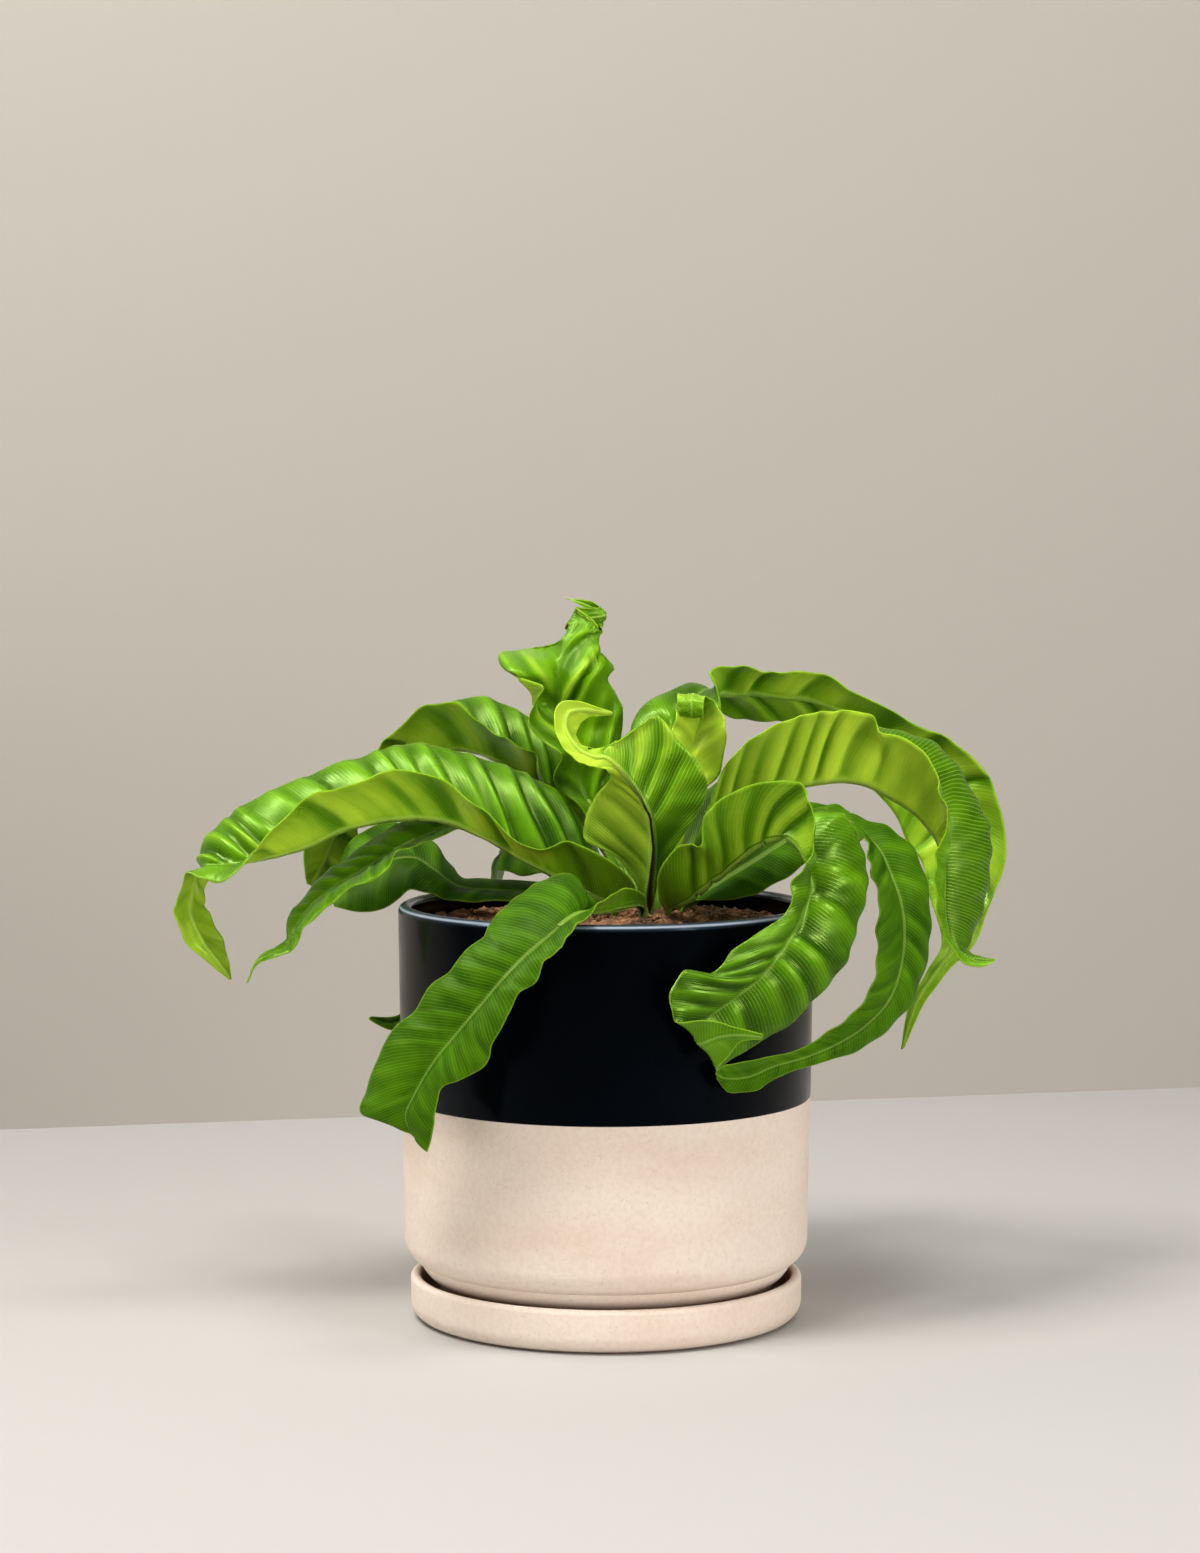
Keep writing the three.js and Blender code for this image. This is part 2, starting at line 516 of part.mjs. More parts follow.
// The frond's upper face as bands of five points, from the left margin to the right one
function bladeBands({ foot, steps, rows, bows = {} }) {
  const world = rows.map((row) => row.map(fromEye));
  const first = world[0];
  const across = first[2].clone().sub(first[0]).setZ(0).normalize();
  const footAt = (z) => {
    const middle = new THREE.Vector3(foot[0], foot[1], z)
      .addScaledVector(across.clone().cross(new THREE.Vector3(0, 0, 1)), stalkLift);
    const side = across.clone().multiplyScalar(stalkRadius);
    return [middle.clone().sub(side), middle, middle.clone().add(side)];
  };
  const all = [footAt(holeBottom + 0.4), footAt(162.5), ...world];
  const lines = [0, 1, 2].map((k) => all.map((row) => row[k]));
  const bowLines = [0, 1].map((k) => all.map((_, n) => {
    const [x, z, near] = bows[n - 2]?.[k] ?? [0, 0, 0];
    return new THREE.Vector3(x, -near, z);
  }));
  const bands = [];
  const count = (all.length - 1) * steps;
  for (let n = 0; n <= count; n++) {
    const [left, mid, right] = lines.map((line) => spline(line, n / steps));
    const [leftBow, rightBow] = bowLines.map((line) => spline(line, n / steps));
    bands.push({ left, mid, right, leftBow, rightBow, along: n / count });
  }
  bands.forEach((band, n) => {
    const before = bands[Math.max(0, n - 1)].mid;
    const after = bands[Math.min(count, n + 1)].mid;
    const forward = after.clone().sub(before).normalize();
    const half = (margin, bow, sign) => {
      const out = margin.clone().sub(band.mid);
      const width = out.length();
      const up = out.clone().cross(forward).multiplyScalar(sign).normalize();
      const swing = edgeSwing(n / steps, all.length, width);
      out.normalize();
      const bowed = band.mid.clone().addScaledVector(out, width / 2)
        .addScaledVector(up, halfArch * width + 0.35 * sign * edgeWave * swing).add(bow);
      const edge = margin.clone().addScaledVector(out, -edgeScallop * swing)
        .addScaledVector(up, sign * edgeWave * swing);
      return [bowed, edge];
    };
    const [leftBowed, left] = half(band.left, band.leftBow, -1);
    const [rightBowed, right] = half(band.right, band.rightBow, 1);
    band.points = [left, leftBowed, band.mid, rightBowed, right];
  });
  return bands;
}

function frondGeometry(frond) {
  const bands = bladeBands(frond);
  const columns = 5;
  const upper = [], normals = [];
  bands.forEach((band, n) => {
    const before = bands[Math.max(0, n - 1)].points;
    const after = bands[Math.min(bands.length - 1, n + 1)].points;
    for (let c = 0; c < columns; c++) {
      const forward = after[c].clone().sub(before[c]);
      if (n < 2) forward.set(0, 0, 1);
      const sideways = band.points[Math.min(c + 1, columns - 1)].clone()
        .sub(band.points[Math.max(c - 1, 0)]);
      upper.push(band.points[c]);
      normals.push(sideways.cross(forward).normalize());
    }
  });
  const lower = upper.map((point, i) => {
    const n = Math.floor(i / columns), c = i % columns;
    const { along } = bands[n];
    const rib = Math.max(0, 1 - along * 1.1) * (ribThickness - bladeThickness);
    const base = Math.max(0, 1 - n / (2 * frond.steps));
    const deep = [0.3, 0.7, 0.7, 0.7, 0.3][c];
    const thick = bladeThickness + (c === 2 ? rib : 0) + base * deep;
    return point.clone().addScaledVector(normals[i], -thick);
  });
  const corners = [...upper, ...lower];
  const flat = new Float32Array(corners.length * 3);
  corners.forEach((p, i) => p.toArray(flat, i * 3));
  const index = [];
  const under = upper.length;
  const at = (n, c) => n * columns + c;
  const rows = bands.length;
  for (let n = 0; n < rows - 1; n++) {
    for (let c = 0; c < columns - 1; c++) {
      const [p, q, r, s] = [at(n, c), at(n, c + 1), at(n + 1, c + 1), at(n + 1, c)];
      const other = c < 2;
      const halves = other ? [[p, q, r], [p, r, s]] : [[p, q, s], [q, r, s]];
      for (const [a, b, d] of halves) {
        index.push(a, b, d, under + a, under + d, under + b);
      }
    }
    const [l0, l1] = [at(n, 0), at(n + 1, 0)];
    const [r0, r1] = [at(n, columns - 1), at(n + 1, columns - 1)];
    index.push(l0, l1, under + l1, l0, under + l1, under + l0);
    index.push(r0, under + r0, under + r1, r0, under + r1, r1);
  }
  for (let c = 0; c < columns - 1; c++) {
    const [p, q] = [at(0, c), at(0, c + 1)];
    const [s, r] = [at(rows - 1, c), at(rows - 1, c + 1)];
    index.push(p, under + p, under + q, p, under + q, q);
    index.push(s, r, under + r, s, under + r, under + s);
  }
  const g = new THREE.BufferGeometry();
  g.setAttribute('position', new THREE.BufferAttribute(flat, 3));
  g.setIndex(index);
  g.computeVertexNormals();
  return g;
}

for (const [name, frond] of Object.entries(fronds)) {
  add(`frond_${name}`, frondGeometry(frond), leafGreen);
}

// Soil: fills the planter, mounded at the crown, with a plain hole for each stalk
{
  const outline = [
    [0, potFloor + 8.4],
    [61.5, potFloor + 8.4],
    [72, 24],
    [74.2, 40],
    [soilRadius, 100],
    [soilRadius, soilLevel],
  ];
  const ring = 48;
  const radii = [soilRadius, 66, 54, 42, 28, 14];
  const top = [];
  for (const r of radii) {
    for (let i = 0; i < ring; i++) {
      const t = (i / ring) * 2 * Math.PI;
      const [x, y] = [r * Math.cos(t), r * Math.sin(t)];
      top.push([x, y, r === soilRadius ? soilLevel : soilHeight(x, y)]);
    }
  }
  const points = [];
  for (const [r, z] of outline.slice(1, -1)) {
    for (let i = 0; i < ring; i++) {
      const t = (i / ring) * 2 * Math.PI;
      points.push([r * Math.cos(t), r * Math.sin(t), z]);
    }
  }
  points.push(...top, [0, 0, soilHeight(0, 0)], [0, 0, outline[0][1]]);
  const rings = outline.length - 2 + radii.length;
  const index = [];
  for (let k = 0; k < rings - 1; k++) {
    for (let i = 0; i < ring; i++) {
      const j = (i + 1) % ring;
      const [a, b, c, d] = [k * ring + i, k * ring + j, (k + 1) * ring + j, (k + 1) * ring + i];
      index.push(a, b, c, a, c, d);
    }
  }
  const crest = rings * ring;
  for (let i = 0; i < ring; i++) {
    const j = (i + 1) % ring;
    index.push((rings - 1) * ring + i, (rings - 1) * ring + j, crest);
    index.push(j, i, crest + 1);
  }
  const g = new THREE.BufferGeometry();
  g.setAttribute('position', new THREE.BufferAttribute(new Float32Array(points.flat()), 3));
  g.setIndex(index);
  let soil = solidFrom(g);
  for (const { foot } of Object.values(fronds)) {
    soil = soil.subtract(drum(holeRadius, holeBottom, 175, foot[0], foot[1], 10));
  }
  add('soil', geometryFrom(soil), earth);
}

export default group;
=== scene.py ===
import math
import random
import bpy
import bmesh
import numpy as np
from mathutils import Matrix, Vector, noise


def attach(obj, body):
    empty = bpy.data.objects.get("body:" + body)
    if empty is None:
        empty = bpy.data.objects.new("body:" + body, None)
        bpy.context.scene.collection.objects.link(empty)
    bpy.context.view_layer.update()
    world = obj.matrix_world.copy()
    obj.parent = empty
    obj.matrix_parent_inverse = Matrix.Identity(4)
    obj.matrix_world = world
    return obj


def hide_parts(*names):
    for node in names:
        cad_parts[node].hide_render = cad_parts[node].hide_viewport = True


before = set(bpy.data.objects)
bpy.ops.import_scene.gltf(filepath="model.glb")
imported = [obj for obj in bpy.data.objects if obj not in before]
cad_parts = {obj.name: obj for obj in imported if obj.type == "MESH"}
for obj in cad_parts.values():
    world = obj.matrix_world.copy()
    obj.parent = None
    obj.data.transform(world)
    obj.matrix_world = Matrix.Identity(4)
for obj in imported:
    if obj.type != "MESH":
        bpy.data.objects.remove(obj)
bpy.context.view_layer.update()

mm = 0.001


# Shader helpers
def startMaterial(name):
    material = bpy.data.materials.new(name)
    material.use_nodes = True
    tree = material.node_tree
    return material, tree, tree.nodes["Principled BSDF"]


def addNode(tree, kind, **settings):
    node = tree.nodes.new(kind)
    for key, value in settings.items():
        setattr(node, key, value)
    return node


def feed(tree, socket, value):
    if isinstance(value, bpy.types.NodeSocket):
        tree.links.new(value, socket)
    else:
        socket.default_value = value


def mathNode(tree, operation, *values, clamp=False):
    node = addNode(tree, "ShaderNodeMath", operation=operation, use_clamp=clamp)
    for socket, value in zip(node.inputs, values):
        feed(tree, socket, value)
    return node.outputs[0]


def vectorNode(tree, operation, *values):
    node = addNode(tree, "ShaderNodeVectorMath", operation=operation)
    for socket, value in zip(node.inputs, values):
        feed(tree, socket, value)
    return node.outputs["Value" if operation == "LENGTH" else "Vector"]


def mapRange(tree, value, fromMin, fromMax, toMin=0.0, toMax=1.0):
    node = addNode(tree, "ShaderNodeMapRange", interpolation_type="SMOOTHSTEP")
    for socket, number in zip(node.inputs, (value, fromMin, fromMax, toMin, toMax)):
        feed(tree, socket, number)
    return node.outputs["Result"]


def mixColour(tree, factor, first, second, blend="MIX"):
    node = addNode(tree, "ShaderNodeMix", data_type="RGBA", blend_type=blend)
    feed(tree, node.inputs["Factor"], factor)
    feed(tree, node.inputs[6], first if isinstance(first, bpy.types.NodeSocket) else (*first, 1))
    feed(tree, node.inputs[7], second if isinstance(second, bpy.types.NodeSocket) else (*second, 1))
    return node.outputs[2]


def noiseNode(tree, vector, scale, detail, roughness):
    node = addNode(tree, "ShaderNodeTexNoise")
    feed(tree, node.inputs["Vector"], vector)
    node.inputs["Scale"].default_value = scale
    node.inputs["Detail"].default_value = detail
    node.inputs["Roughness"].default_value = roughness
    return node.outputs["Fac"]


def noiseRange(tree, value, low, high):  # most of a noise lies from 0.3 to 0.7
    return mapRange(tree, value, 0.3, 0.7, low, high)


def attributeValue(tree, name):
    return addNode(tree, "ShaderNodeAttribute", attribute_name=name).outputs["Fac"]


def objectPlace(tree):
    return addNode(tree, "ShaderNodeTexCoord").outputs["Object"]


def heightOf(tree, place):
    split = addNode(tree, "ShaderNodeSeparateXYZ")
    feed(tree, split.inputs[0], place)
    return split.outputs["Z"]


def bumpNode(tree, height, strength, distance):
    node = addNode(tree, "ShaderNodeBump")
    node.inputs["Strength"].default_value = strength
    node.inputs["Distance"].default_value = distance
    feed(tree, node.inputs["Height"], height)
    return node.outputs["Normal"]


def finishPiece(bm, name, materials, nodes, smooth=True):
    mesh = bpy.data.meshes.new(name)
    bm.to_mesh(mesh)
    bm.free()
    for material in materials:
        mesh.materials.append(material)
    mesh.polygons.foreach_set("use_smooth", [smooth] * len(mesh.polygons))
    piece = bpy.data.objects.new(name, mesh)
    bpy.context.scene.collection.objects.link(piece)
    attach(piece, "root")
    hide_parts(*nodes)
    return piece


# Camera, floor, wall and lights
view = {"eyeDistance": 1455, "eyeHeight": 318, "eyeSide": -2.4, "pitch": 4.04, "lens": 85.3, "sensor": 36}
studio = {"floorSize": (8, 8), "floorColour": (0.435, 0.415, 0.395), "floorRoughness": 0.8,
          "wallSize": (8, 4), "wallColour": (0.34, 0.312, 0.274), "wallRoughness": 0.9,
          "wallBehind": 0.51, "wallTurn": 12.4, "airColour": (0.92, 0.90, 0.88), "airStrength": 0.1}
lamps = {  # place, target, size, power and colour; the shine lamps are only seen mirrored, the others never
    "keyLight": ((-0.5, -0.5, 1.5), (0, 0, 0.14), (0.55, 0.55), 27, (1.0, 0.98, 0.94)),
    "topLight": ((0.45, -0.25, 1.5), (0, 0, 0.15), (0.4, 0.4), 8, (0.99, 1.0, 0.98)),
    "lowRight": ((1.3, -1.1, 0.4), (0, 0, 0.06), (1.2, 0.7), 20, (1.0, 0.98, 0.97)),
    "lowLeft": ((-1.3, -1.1, 0.4), (0, 0, 0.06), (1.2, 0.7), 10, (1.0, 0.98, 0.97)),
    "shineLeft": ((-1.2, -0.35, 1.2), (0, 0, 0.18), (0.3, 0.9), 60, (0.92, 1.0, 0.98)),
    "shineRight": ((1.1, -1.1, 0.9), (0, 0, 0.18), (0.22, 0.8), 34, (0.95, 1.0, 0.95)),
    "shineTop": ((0, -0.35, 1.5), (0, 0, 0.18), (1.0, 0.2), 40, (0.95, 1.0, 0.95)),
}


def plainMaterial(name, colour, roughness):
    material, tree, shader = startMaterial(name)
    shader.inputs["Base Color"].default_value = (*colour, 1)
    shader.inputs["Roughness"].default_value = roughness
    return material


def openBehind(material):  # the wall hides nothing when it is looked at from its back
    tree = material.node_tree
    mix = addNode(tree, "ShaderNodeMixShader")
    feed(tree, mix.inputs[0], addNode(tree, "ShaderNodeNewGeometry").outputs["Backfacing"])
    feed(tree, mix.inputs[1], tree.nodes["Principled BSDF"].outputs[0])
    feed(tree, mix.inputs[2], addNode(tree, "ShaderNodeBsdfTransparent").outputs[0])
    feed(tree, tree.nodes["Material Output"].inputs["Surface"], mix.outputs[0])
    return material


def stagePlane(name, size, turn, place, material):
    bm = bmesh.new()
    bmesh.ops.create_grid(bm, x_segments=1, y_segments=1, size=0.5)
    bmesh.ops.scale(bm, vec=(*size, 1), verts=bm.verts)
    bmesh.ops.transform(bm, matrix=turn, verts=bm.verts)
    bmesh.ops.translate(bm, vec=place, verts=bm.verts)
    mesh = bpy.data.meshes.new(name)
    bm.to_mesh(mesh)
    bm.free()
    mesh.materials.append(material)
    plane = bpy.data.objects.new(name, mesh)
    bpy.context.scene.collection.objects.link(plane)


def areaLight(name, mirrored, place, target, size, power, colour):
    data = bpy.data.lights.new(name, "AREA")
    data.shape = "RECTANGLE"
    data.size, data.size_y = size
    data.energy = power
    data.color = colour
    lamp = bpy.data.objects.new(name, data)
    lamp.location = place
    lamp.visible_glossy = mirrored
    lamp.visible_diffuse = not mirrored
    lamp.rotation_euler = (Vector(target) - Vector(place)).to_track_quat("-Z", "Y").to_euler()
    bpy.context.scene.collection.objects.link(lamp)


camera = bpy.data.objects.new("camera", bpy.data.cameras.new("camera"))
camera.location = (view["eyeSide"] * mm, -view["eyeDistance"] * mm, view["eyeHeight"] * mm)
camera.rotation_euler = (math.radians(90 - view["pitch"]), 0, 0)
camera.data.lens = view["lens"]
camera.data.sensor_width = view["sensor"]
bpy.context.scene.collection.objects.link(camera)
bpy.context.scene.camera = camera

wallTurn = Matrix.Rotation(math.radians(studio["wallTurn"]), 4, "Z") @ Matrix.Rotation(math.radians(90), 4, "X")
stagePlane("floor", studio["floorSize"], Matrix.Identity(4), (0, 0, 0),
           plainMaterial("paleFloor", studio["floorColour"], studio["floorRoughness"]))
stagePlane("wall", studio["wallSize"], wallTurn, (0, studio["wallBehind"], studio["wallSize"][1] / 2),
           openBehind(plainMaterial("paleWall", studio["wallColour"], studio["wallRoughness"])))
for name, values in lamps.items():
    areaLight(name, name.startswith("shine"), *values)

bpy.context.scene.view_settings.view_transform = "Standard"
world = bpy.data.worlds.new("studio")
world.use_nodes = True
air = world.node_tree.nodes["Background"]
air.inputs["Color"].default_value = (*studio["airColour"], 1)
air.inputs["Strength"].default_value = studio["airStrength"]
world.cycles_visibility.glossy = False
bpy.context.scene.world = world
print("stage, camera and lights are set")


# Planter and saucer
potSizes = {"drainRadius": 7, "bottom": 6, "floorTop": 14, "footFlat": 60, "footEdge": 63, "footRound": 2,
            "overSaucer": ((67.9, 17), (68.1, 19.2), (69.2, 20.3), (71.2, 21.0)), "bellyRadius": 80.7,
            "bellyInset": 10.3, "bellyHeight": 32, "bellyRound": 10, "clayWall": (80.75, 60), "glazeLine": 88.5,
            "glazeStep": ((0.3, 0), (0.05, 0.3), (0, 0.8)), "leanIn": 0.9, "shoulder": (81.6, 100), "neck": (82.1, 130),
            "rimRadius": 82.5, "rimHeight": 165, "wall": 5.5, "innerLean": 0.4, "innerFoot": (74.7, 40),
            "innerCorner": 62.5, "innerRound": 12, "turns": 192}
saucerSizes = {"radius": 78, "round": 7, "inner": 73.7, "innerRound": 3, "middle": 40, "height": 17.5, "floor": 5.5,
               "turns": 192}
clayLook = {"colour": (0.72, 0.61, 0.52), "warm": (0.66, 0.5, 0.385), "cloudScale": 17, "cloudStretch": (1, 1, 2.6),
            "cloudShare": 0.5, "grain": (0.52, 0.39, 0.29), "grainScale": 520, "grainShare": 0.22,
            # the next four values are painted shade: warm brown darkening in the gap between pot and saucer
            "paintedGapShade": (0.22, 0.10, 0.045), "paintedGapShadeReach": (0.0738, 0.0752), "paintedGapShadeTop": (0.0150, 0.0205), "paintedGapShadeShare": 0.85,
            "speck": (0.42, 0.26, 0.16), "speckScale": 800, "speckShare": 0.4, "roughness": (0.66, 0.82),
            "fineScale": 900, "bump": (0.25, 0.0002)}
glazeLook = {"colour": (0.0004, 0.0006, 0.001), "cloudGain": 2.2, "cloudScale": 60, "roughness": (0.17, 0.25),
             # the lip colour on the next line is partly the glaze thinning there, partly painted sheen
             "specular": 0.2, "tint": (0.08, 0.12, 0.18), "lip": (0.016, 0.023, 0.036), "lipFrom": (0.162, 0.164),
             # the pale colour on the next line, with its height, width and share, is a painted highlight along the
             # rim's outer edge
             "line": (0.30, 0.35, 0.42), "paintedRimHighlightHeight": 0.1640, "paintedRimHighlightWidth": 0.0007, "paintedRimHighlightShare": 0.8,
             "waveScale": 220, "bump": (0.05, 0.0004)}


def arcPoints(cx, cz, r, start, end, count):
    angles = [start + (end - start) * i / count for i in range(count + 1)]
    return [(cx + r * math.cos(angle), cz + r * math.sin(angle)) for angle in angles]


def turnedShape(outline, turns, closed):
    bm = bmesh.new()
    ring = [bm.verts.new((r * mm, 0, z * mm)) for r, z in outline]
    for first, second in zip(ring, ring[1:]):
        bm.edges.new((first, second))
    if closed:
        bm.edges.new((ring[-1], ring[0]))
    bmesh.ops.spin(bm, geom=bm.verts[:] + bm.edges[:], cent=(0, 0, 0), axis=(0, 0, 1), dvec=(0, 0, 0),
                   angle=2 * math.pi, steps=turns, use_merge=True)
    bmesh.ops.remove_doubles(bm, verts=bm.verts, dist=1e-6)
    bmesh.ops.recalc_face_normals(bm, faces=bm.faces)
    return bm


def clayMaterial():
    material, tree, shader = startMaterial("bareClay")
    place = objectPlace(tree)
    height = heightOf(tree, place)
    stretched = vectorNode(tree, "MULTIPLY", place, clayLook["cloudStretch"])
    cloud = noiseNode(tree, stretched, clayLook["cloudScale"], 4, 0.6)
    fine = noiseNode(tree, place, clayLook["fineScale"], 2, 0.5)
    grain = noiseNode(tree, place, clayLook["grainScale"], 2, 0.6)
    clouded = mapRange(tree, cloud, 0.42, 0.72, 0.0, clayLook["cloudShare"])
    colour = mixColour(tree, clouded, clayLook["colour"], clayLook["warm"])
    grained = mapRange(tree, grain, 0.35, 0.7, 0.0, clayLook["grainShare"])
    colour = mixColour(tree, grained, colour, clayLook["grain"])
    radius = vectorNode(tree, "LENGTH", vectorNode(tree, "MULTIPLY", place, (1, 1, 0)))
    # painted shade: clay darkened to warm brown low on the pot's foot and inside the saucer, where the gap between them
    # lies in shade
    inSaucer = mapRange(tree, radius, *clayLook["paintedGapShadeReach"], 1, 0)
    paintedGapShade = mathNode(tree, "MULTIPLY", inSaucer, mapRange(tree, height, *clayLook["paintedGapShadeTop"], 1, 0))
    colour = mixColour(tree, mathNode(tree, "MULTIPLY", paintedGapShade, clayLook["paintedGapShadeShare"]), colour, clayLook["paintedGapShade"])
    speckle = addNode(tree, "ShaderNodeTexVoronoi", feature="F1")
    feed(tree, speckle.inputs["Vector"], place)
    speckle.inputs["Scale"].default_value = clayLook["speckScale"]
    chance = noiseNode(tree, place, 330, 1, 0.5)
    dots = mathNode(tree, "MULTIPLY", mapRange(tree, speckle.outputs["Distance"], 0.16, 0.3, 1, 0),
                    mapRange(tree, chance, 0.56, 0.66))
    colour = mixColour(tree, mathNode(tree, "MULTIPLY", dots, clayLook["speckShare"]), colour, clayLook["speck"])
    feed(tree, shader.inputs["Base Color"], colour)
    feed(tree, shader.inputs["Roughness"], noiseRange(tree, fine, *clayLook["roughness"]))
    feed(tree, shader.inputs["Normal"], bumpNode(tree, fine, *clayLook["bump"]))
    return material


def glazeMaterial():
    material, tree, shader = startMaterial("blackGlaze")
    place = objectPlace(tree)
    cloud = noiseNode(tree, place, glazeLook["cloudScale"], 3, 0.5)
    height = heightOf(tree, place)
    clouded = tuple(glazeLook["cloudGain"] * c for c in glazeLook["colour"])
    colour = mixColour(tree, cloud, glazeLook["colour"], clouded)
    # lighter navy on the lip: partly the glaze thinning there, partly painted sheen where the lip catches the light
    colour = mixColour(tree, mapRange(tree, height, *glazeLook["lipFrom"]), colour, glazeLook["lip"])
    # painted highlight: a thin pale line round the rim's outer edge where it catches the light
    away = mathNode(tree, "ABSOLUTE", mathNode(tree, "SUBTRACT", height, glazeLook["paintedRimHighlightHeight"]))
    onPaintedRimHighlight = mapRange(tree, away, 0.0, glazeLook["paintedRimHighlightWidth"], glazeLook["paintedRimHighlightShare"], 0.0)
    feed(tree, shader.inputs["Base Color"], mixColour(tree, onPaintedRimHighlight, colour, glazeLook["line"]))
    feed(tree, shader.inputs["Roughness"], noiseRange(tree, cloud, *glazeLook["roughness"]))
    shader.inputs["Specular IOR Level"].default_value = glazeLook["specular"]
    shader.inputs["Specular Tint"].default_value = (*glazeLook["tint"], 1)
    waves = noiseNode(tree, place, glazeLook["waveScale"], 2, 0.4)
    feed(tree, shader.inputs["Normal"], bumpNode(tree, waves, *glazeLook["bump"]))
    return material


clay = clayMaterial()
glaze = glazeMaterial()

quarter = math.pi / 2
p = potSizes
lip = p["wall"] / 2
shoulderRadius, shoulderHeight = p["shoulder"]
glazeRadius = shoulderRadius - p["leanIn"] * (shoulderHeight - p["glazeLine"]) / (shoulderHeight - p["bellyHeight"])
potOutline = [
    (p["drainRadius"], p["bottom"]), (p["footFlat"], p["bottom"]),
    *arcPoints(p["footEdge"], p["bottom"] + p["footRound"], p["footRound"], -quarter, -0.2, 5), *p["overSaucer"],
    *arcPoints(p["bellyRadius"] - p["bellyInset"], p["bellyHeight"], p["bellyRound"], -1.2, 0, 10), p["clayWall"],
    *((glazeRadius - inset, p["glazeLine"] + above) for inset, above in p["glazeStep"]), p["shoulder"], p["neck"],
    *arcPoints(p["rimRadius"] - lip, p["rimHeight"] - lip, lip, 0, 2 * quarter, 14),
    (p["rimRadius"] - p["wall"] - p["innerLean"], shoulderHeight), p["innerFoot"],
    *arcPoints(p["innerCorner"], p["floorTop"] + p["innerRound"], p["innerRound"], 0, -quarter, 6),
    (p["drainRadius"], p["floorTop"]),
]
bm = turnedShape(potOutline, p["turns"], True)
for face in bm.faces:
    face.material_index = 1 if face.calc_center_median().z > p["glazeLine"] * mm else 0
finishPiece(bm, "planter", [clay, glaze], ["pot"])

s = saucerSizes
saucerLip = (s["radius"] - s["inner"]) / 2
saucerOutline = [
    (0, 0), (s["middle"], 0), *arcPoints(s["radius"] - s["round"], s["round"], s["round"], -quarter, 0, 10),
    *arcPoints(s["radius"] - saucerLip, s["height"] - saucerLip, saucerLip, 0, 2 * quarter, 10),
    *arcPoints(s["inner"] - s["innerRound"], s["floor"] + s["innerRound"], s["innerRound"], 0, -quarter, 6),
    (s["middle"], s["floor"]), (0, s["floor"]),
]
finishPiece(turnedShape(saucerOutline, s["turns"], False), "saucerDish", [clay], ["saucer"])
print("planter and saucer are made")


# Soil
soilSizes = {"radius": 76.2, "level": 156.5, "moundHeight": 5, "moundReach": 66, "crown": (14, 4), "turns": 144,
             "rings": 46, "side": ((0, 14.4), (61.5, 14.4), (72, 24), (74.2, 40), (76.2, 100), (76.2, 155.9)),
             "crumbs": 1500, "crumbReach": 73.5, "crumbTurn": 6.28, "seed": 7,
             "kinds": ((0.7, 0.1, 1.0), (0.9, 0.3, 1.2), (1.1, 0.05, 1.0), (1.4, 0.2, 1.3), (1.9, 0.1, 1.1),
                       (2.5, 0.25, 1.2), (1.2, 0.55, 2.0), (0.7, 0.8, 1.6), (0.6, 1.0, 1.1), (0.9, 0.4, 3.0)),
             "shares": (8, 7, 7, 6, 4, 2, 3, 1, 1, 2)}  # kinds are size, tone and length of a crumb
soilLook = {"dark": (0.11, 0.047, 0.022), "warm": (0.38, 0.175, 0.08), "crumb": (0.60, 0.36, 0.12),
            "clodScale": 240, "grainScale": 900, "roughness": 0.95, "specular": 0.25, "bump": (0.6, 0.0006)}


def soilHeight(x, y):
    away = math.hypot(x - soilSizes["crown"][0], y - soilSizes["crown"][1])
    rise = max(0, 1 - away / soilSizes["moundReach"])
    edge = math.hypot(x, y) / soilSizes["radius"]
    lumps = math.sin(x * 0.31 + 1.3) * math.sin(y * 0.27 + 0.4) + 0.6 * math.sin(x * 0.11 - y * 0.19 + 2.1)
    return (soilSizes["level"] + soilSizes["moundHeight"] * rise * rise * (3 - 2 * rise)
            + 0.7 * lumps * max(0, 1 - edge ** 6))


def soilMaterial():
    material, tree, shader = startMaterial("pottingSoil")
    place = objectPlace(tree)
    crumb = attributeValue(tree, "crumbTone")
    grains = noiseNode(tree, place, soilLook["grainScale"], 3, 0.6)
    clods = mapRange(tree, noiseNode(tree, place, soilLook["clodScale"], 4, 0.6), 0.35, 0.7)
    colour = mixColour(tree, clods, soilLook["dark"], soilLook["warm"])
    colour = mixColour(tree, mapRange(tree, crumb, 0.35, 1.0), colour, soilLook["crumb"])
    feed(tree, shader.inputs["Base Color"], colour)
    shader.inputs["Roughness"].default_value = soilLook["roughness"]
    shader.inputs["Specular IOR Level"].default_value = soilLook["specular"]
    feed(tree, shader.inputs["Normal"], bumpNode(tree, grains, *soilLook["bump"]))
    return material


def crumbShape(size, tone, length, draw):
    bm = bmesh.new()
    bmesh.ops.create_icosphere(bm, subdivisions=1, radius=size * mm)
    bmesh.ops.scale(bm, vec=(length, draw.uniform(0.6, 0.9), draw.uniform(0.45, 0.8)), verts=bm.verts)
    layer = bm.verts.layers.float.new("crumbTone")
    for vert in bm.verts:
        vert.co *= 1 + 0.3 * noise.noise(vert.co / mm * 1.3 + Vector((size * 7, tone * 5, length)))
        vert[layer] = tone
    mesh = bpy.data.meshes.new("crumb")
    bm.to_mesh(mesh)
    bm.free()
    return mesh


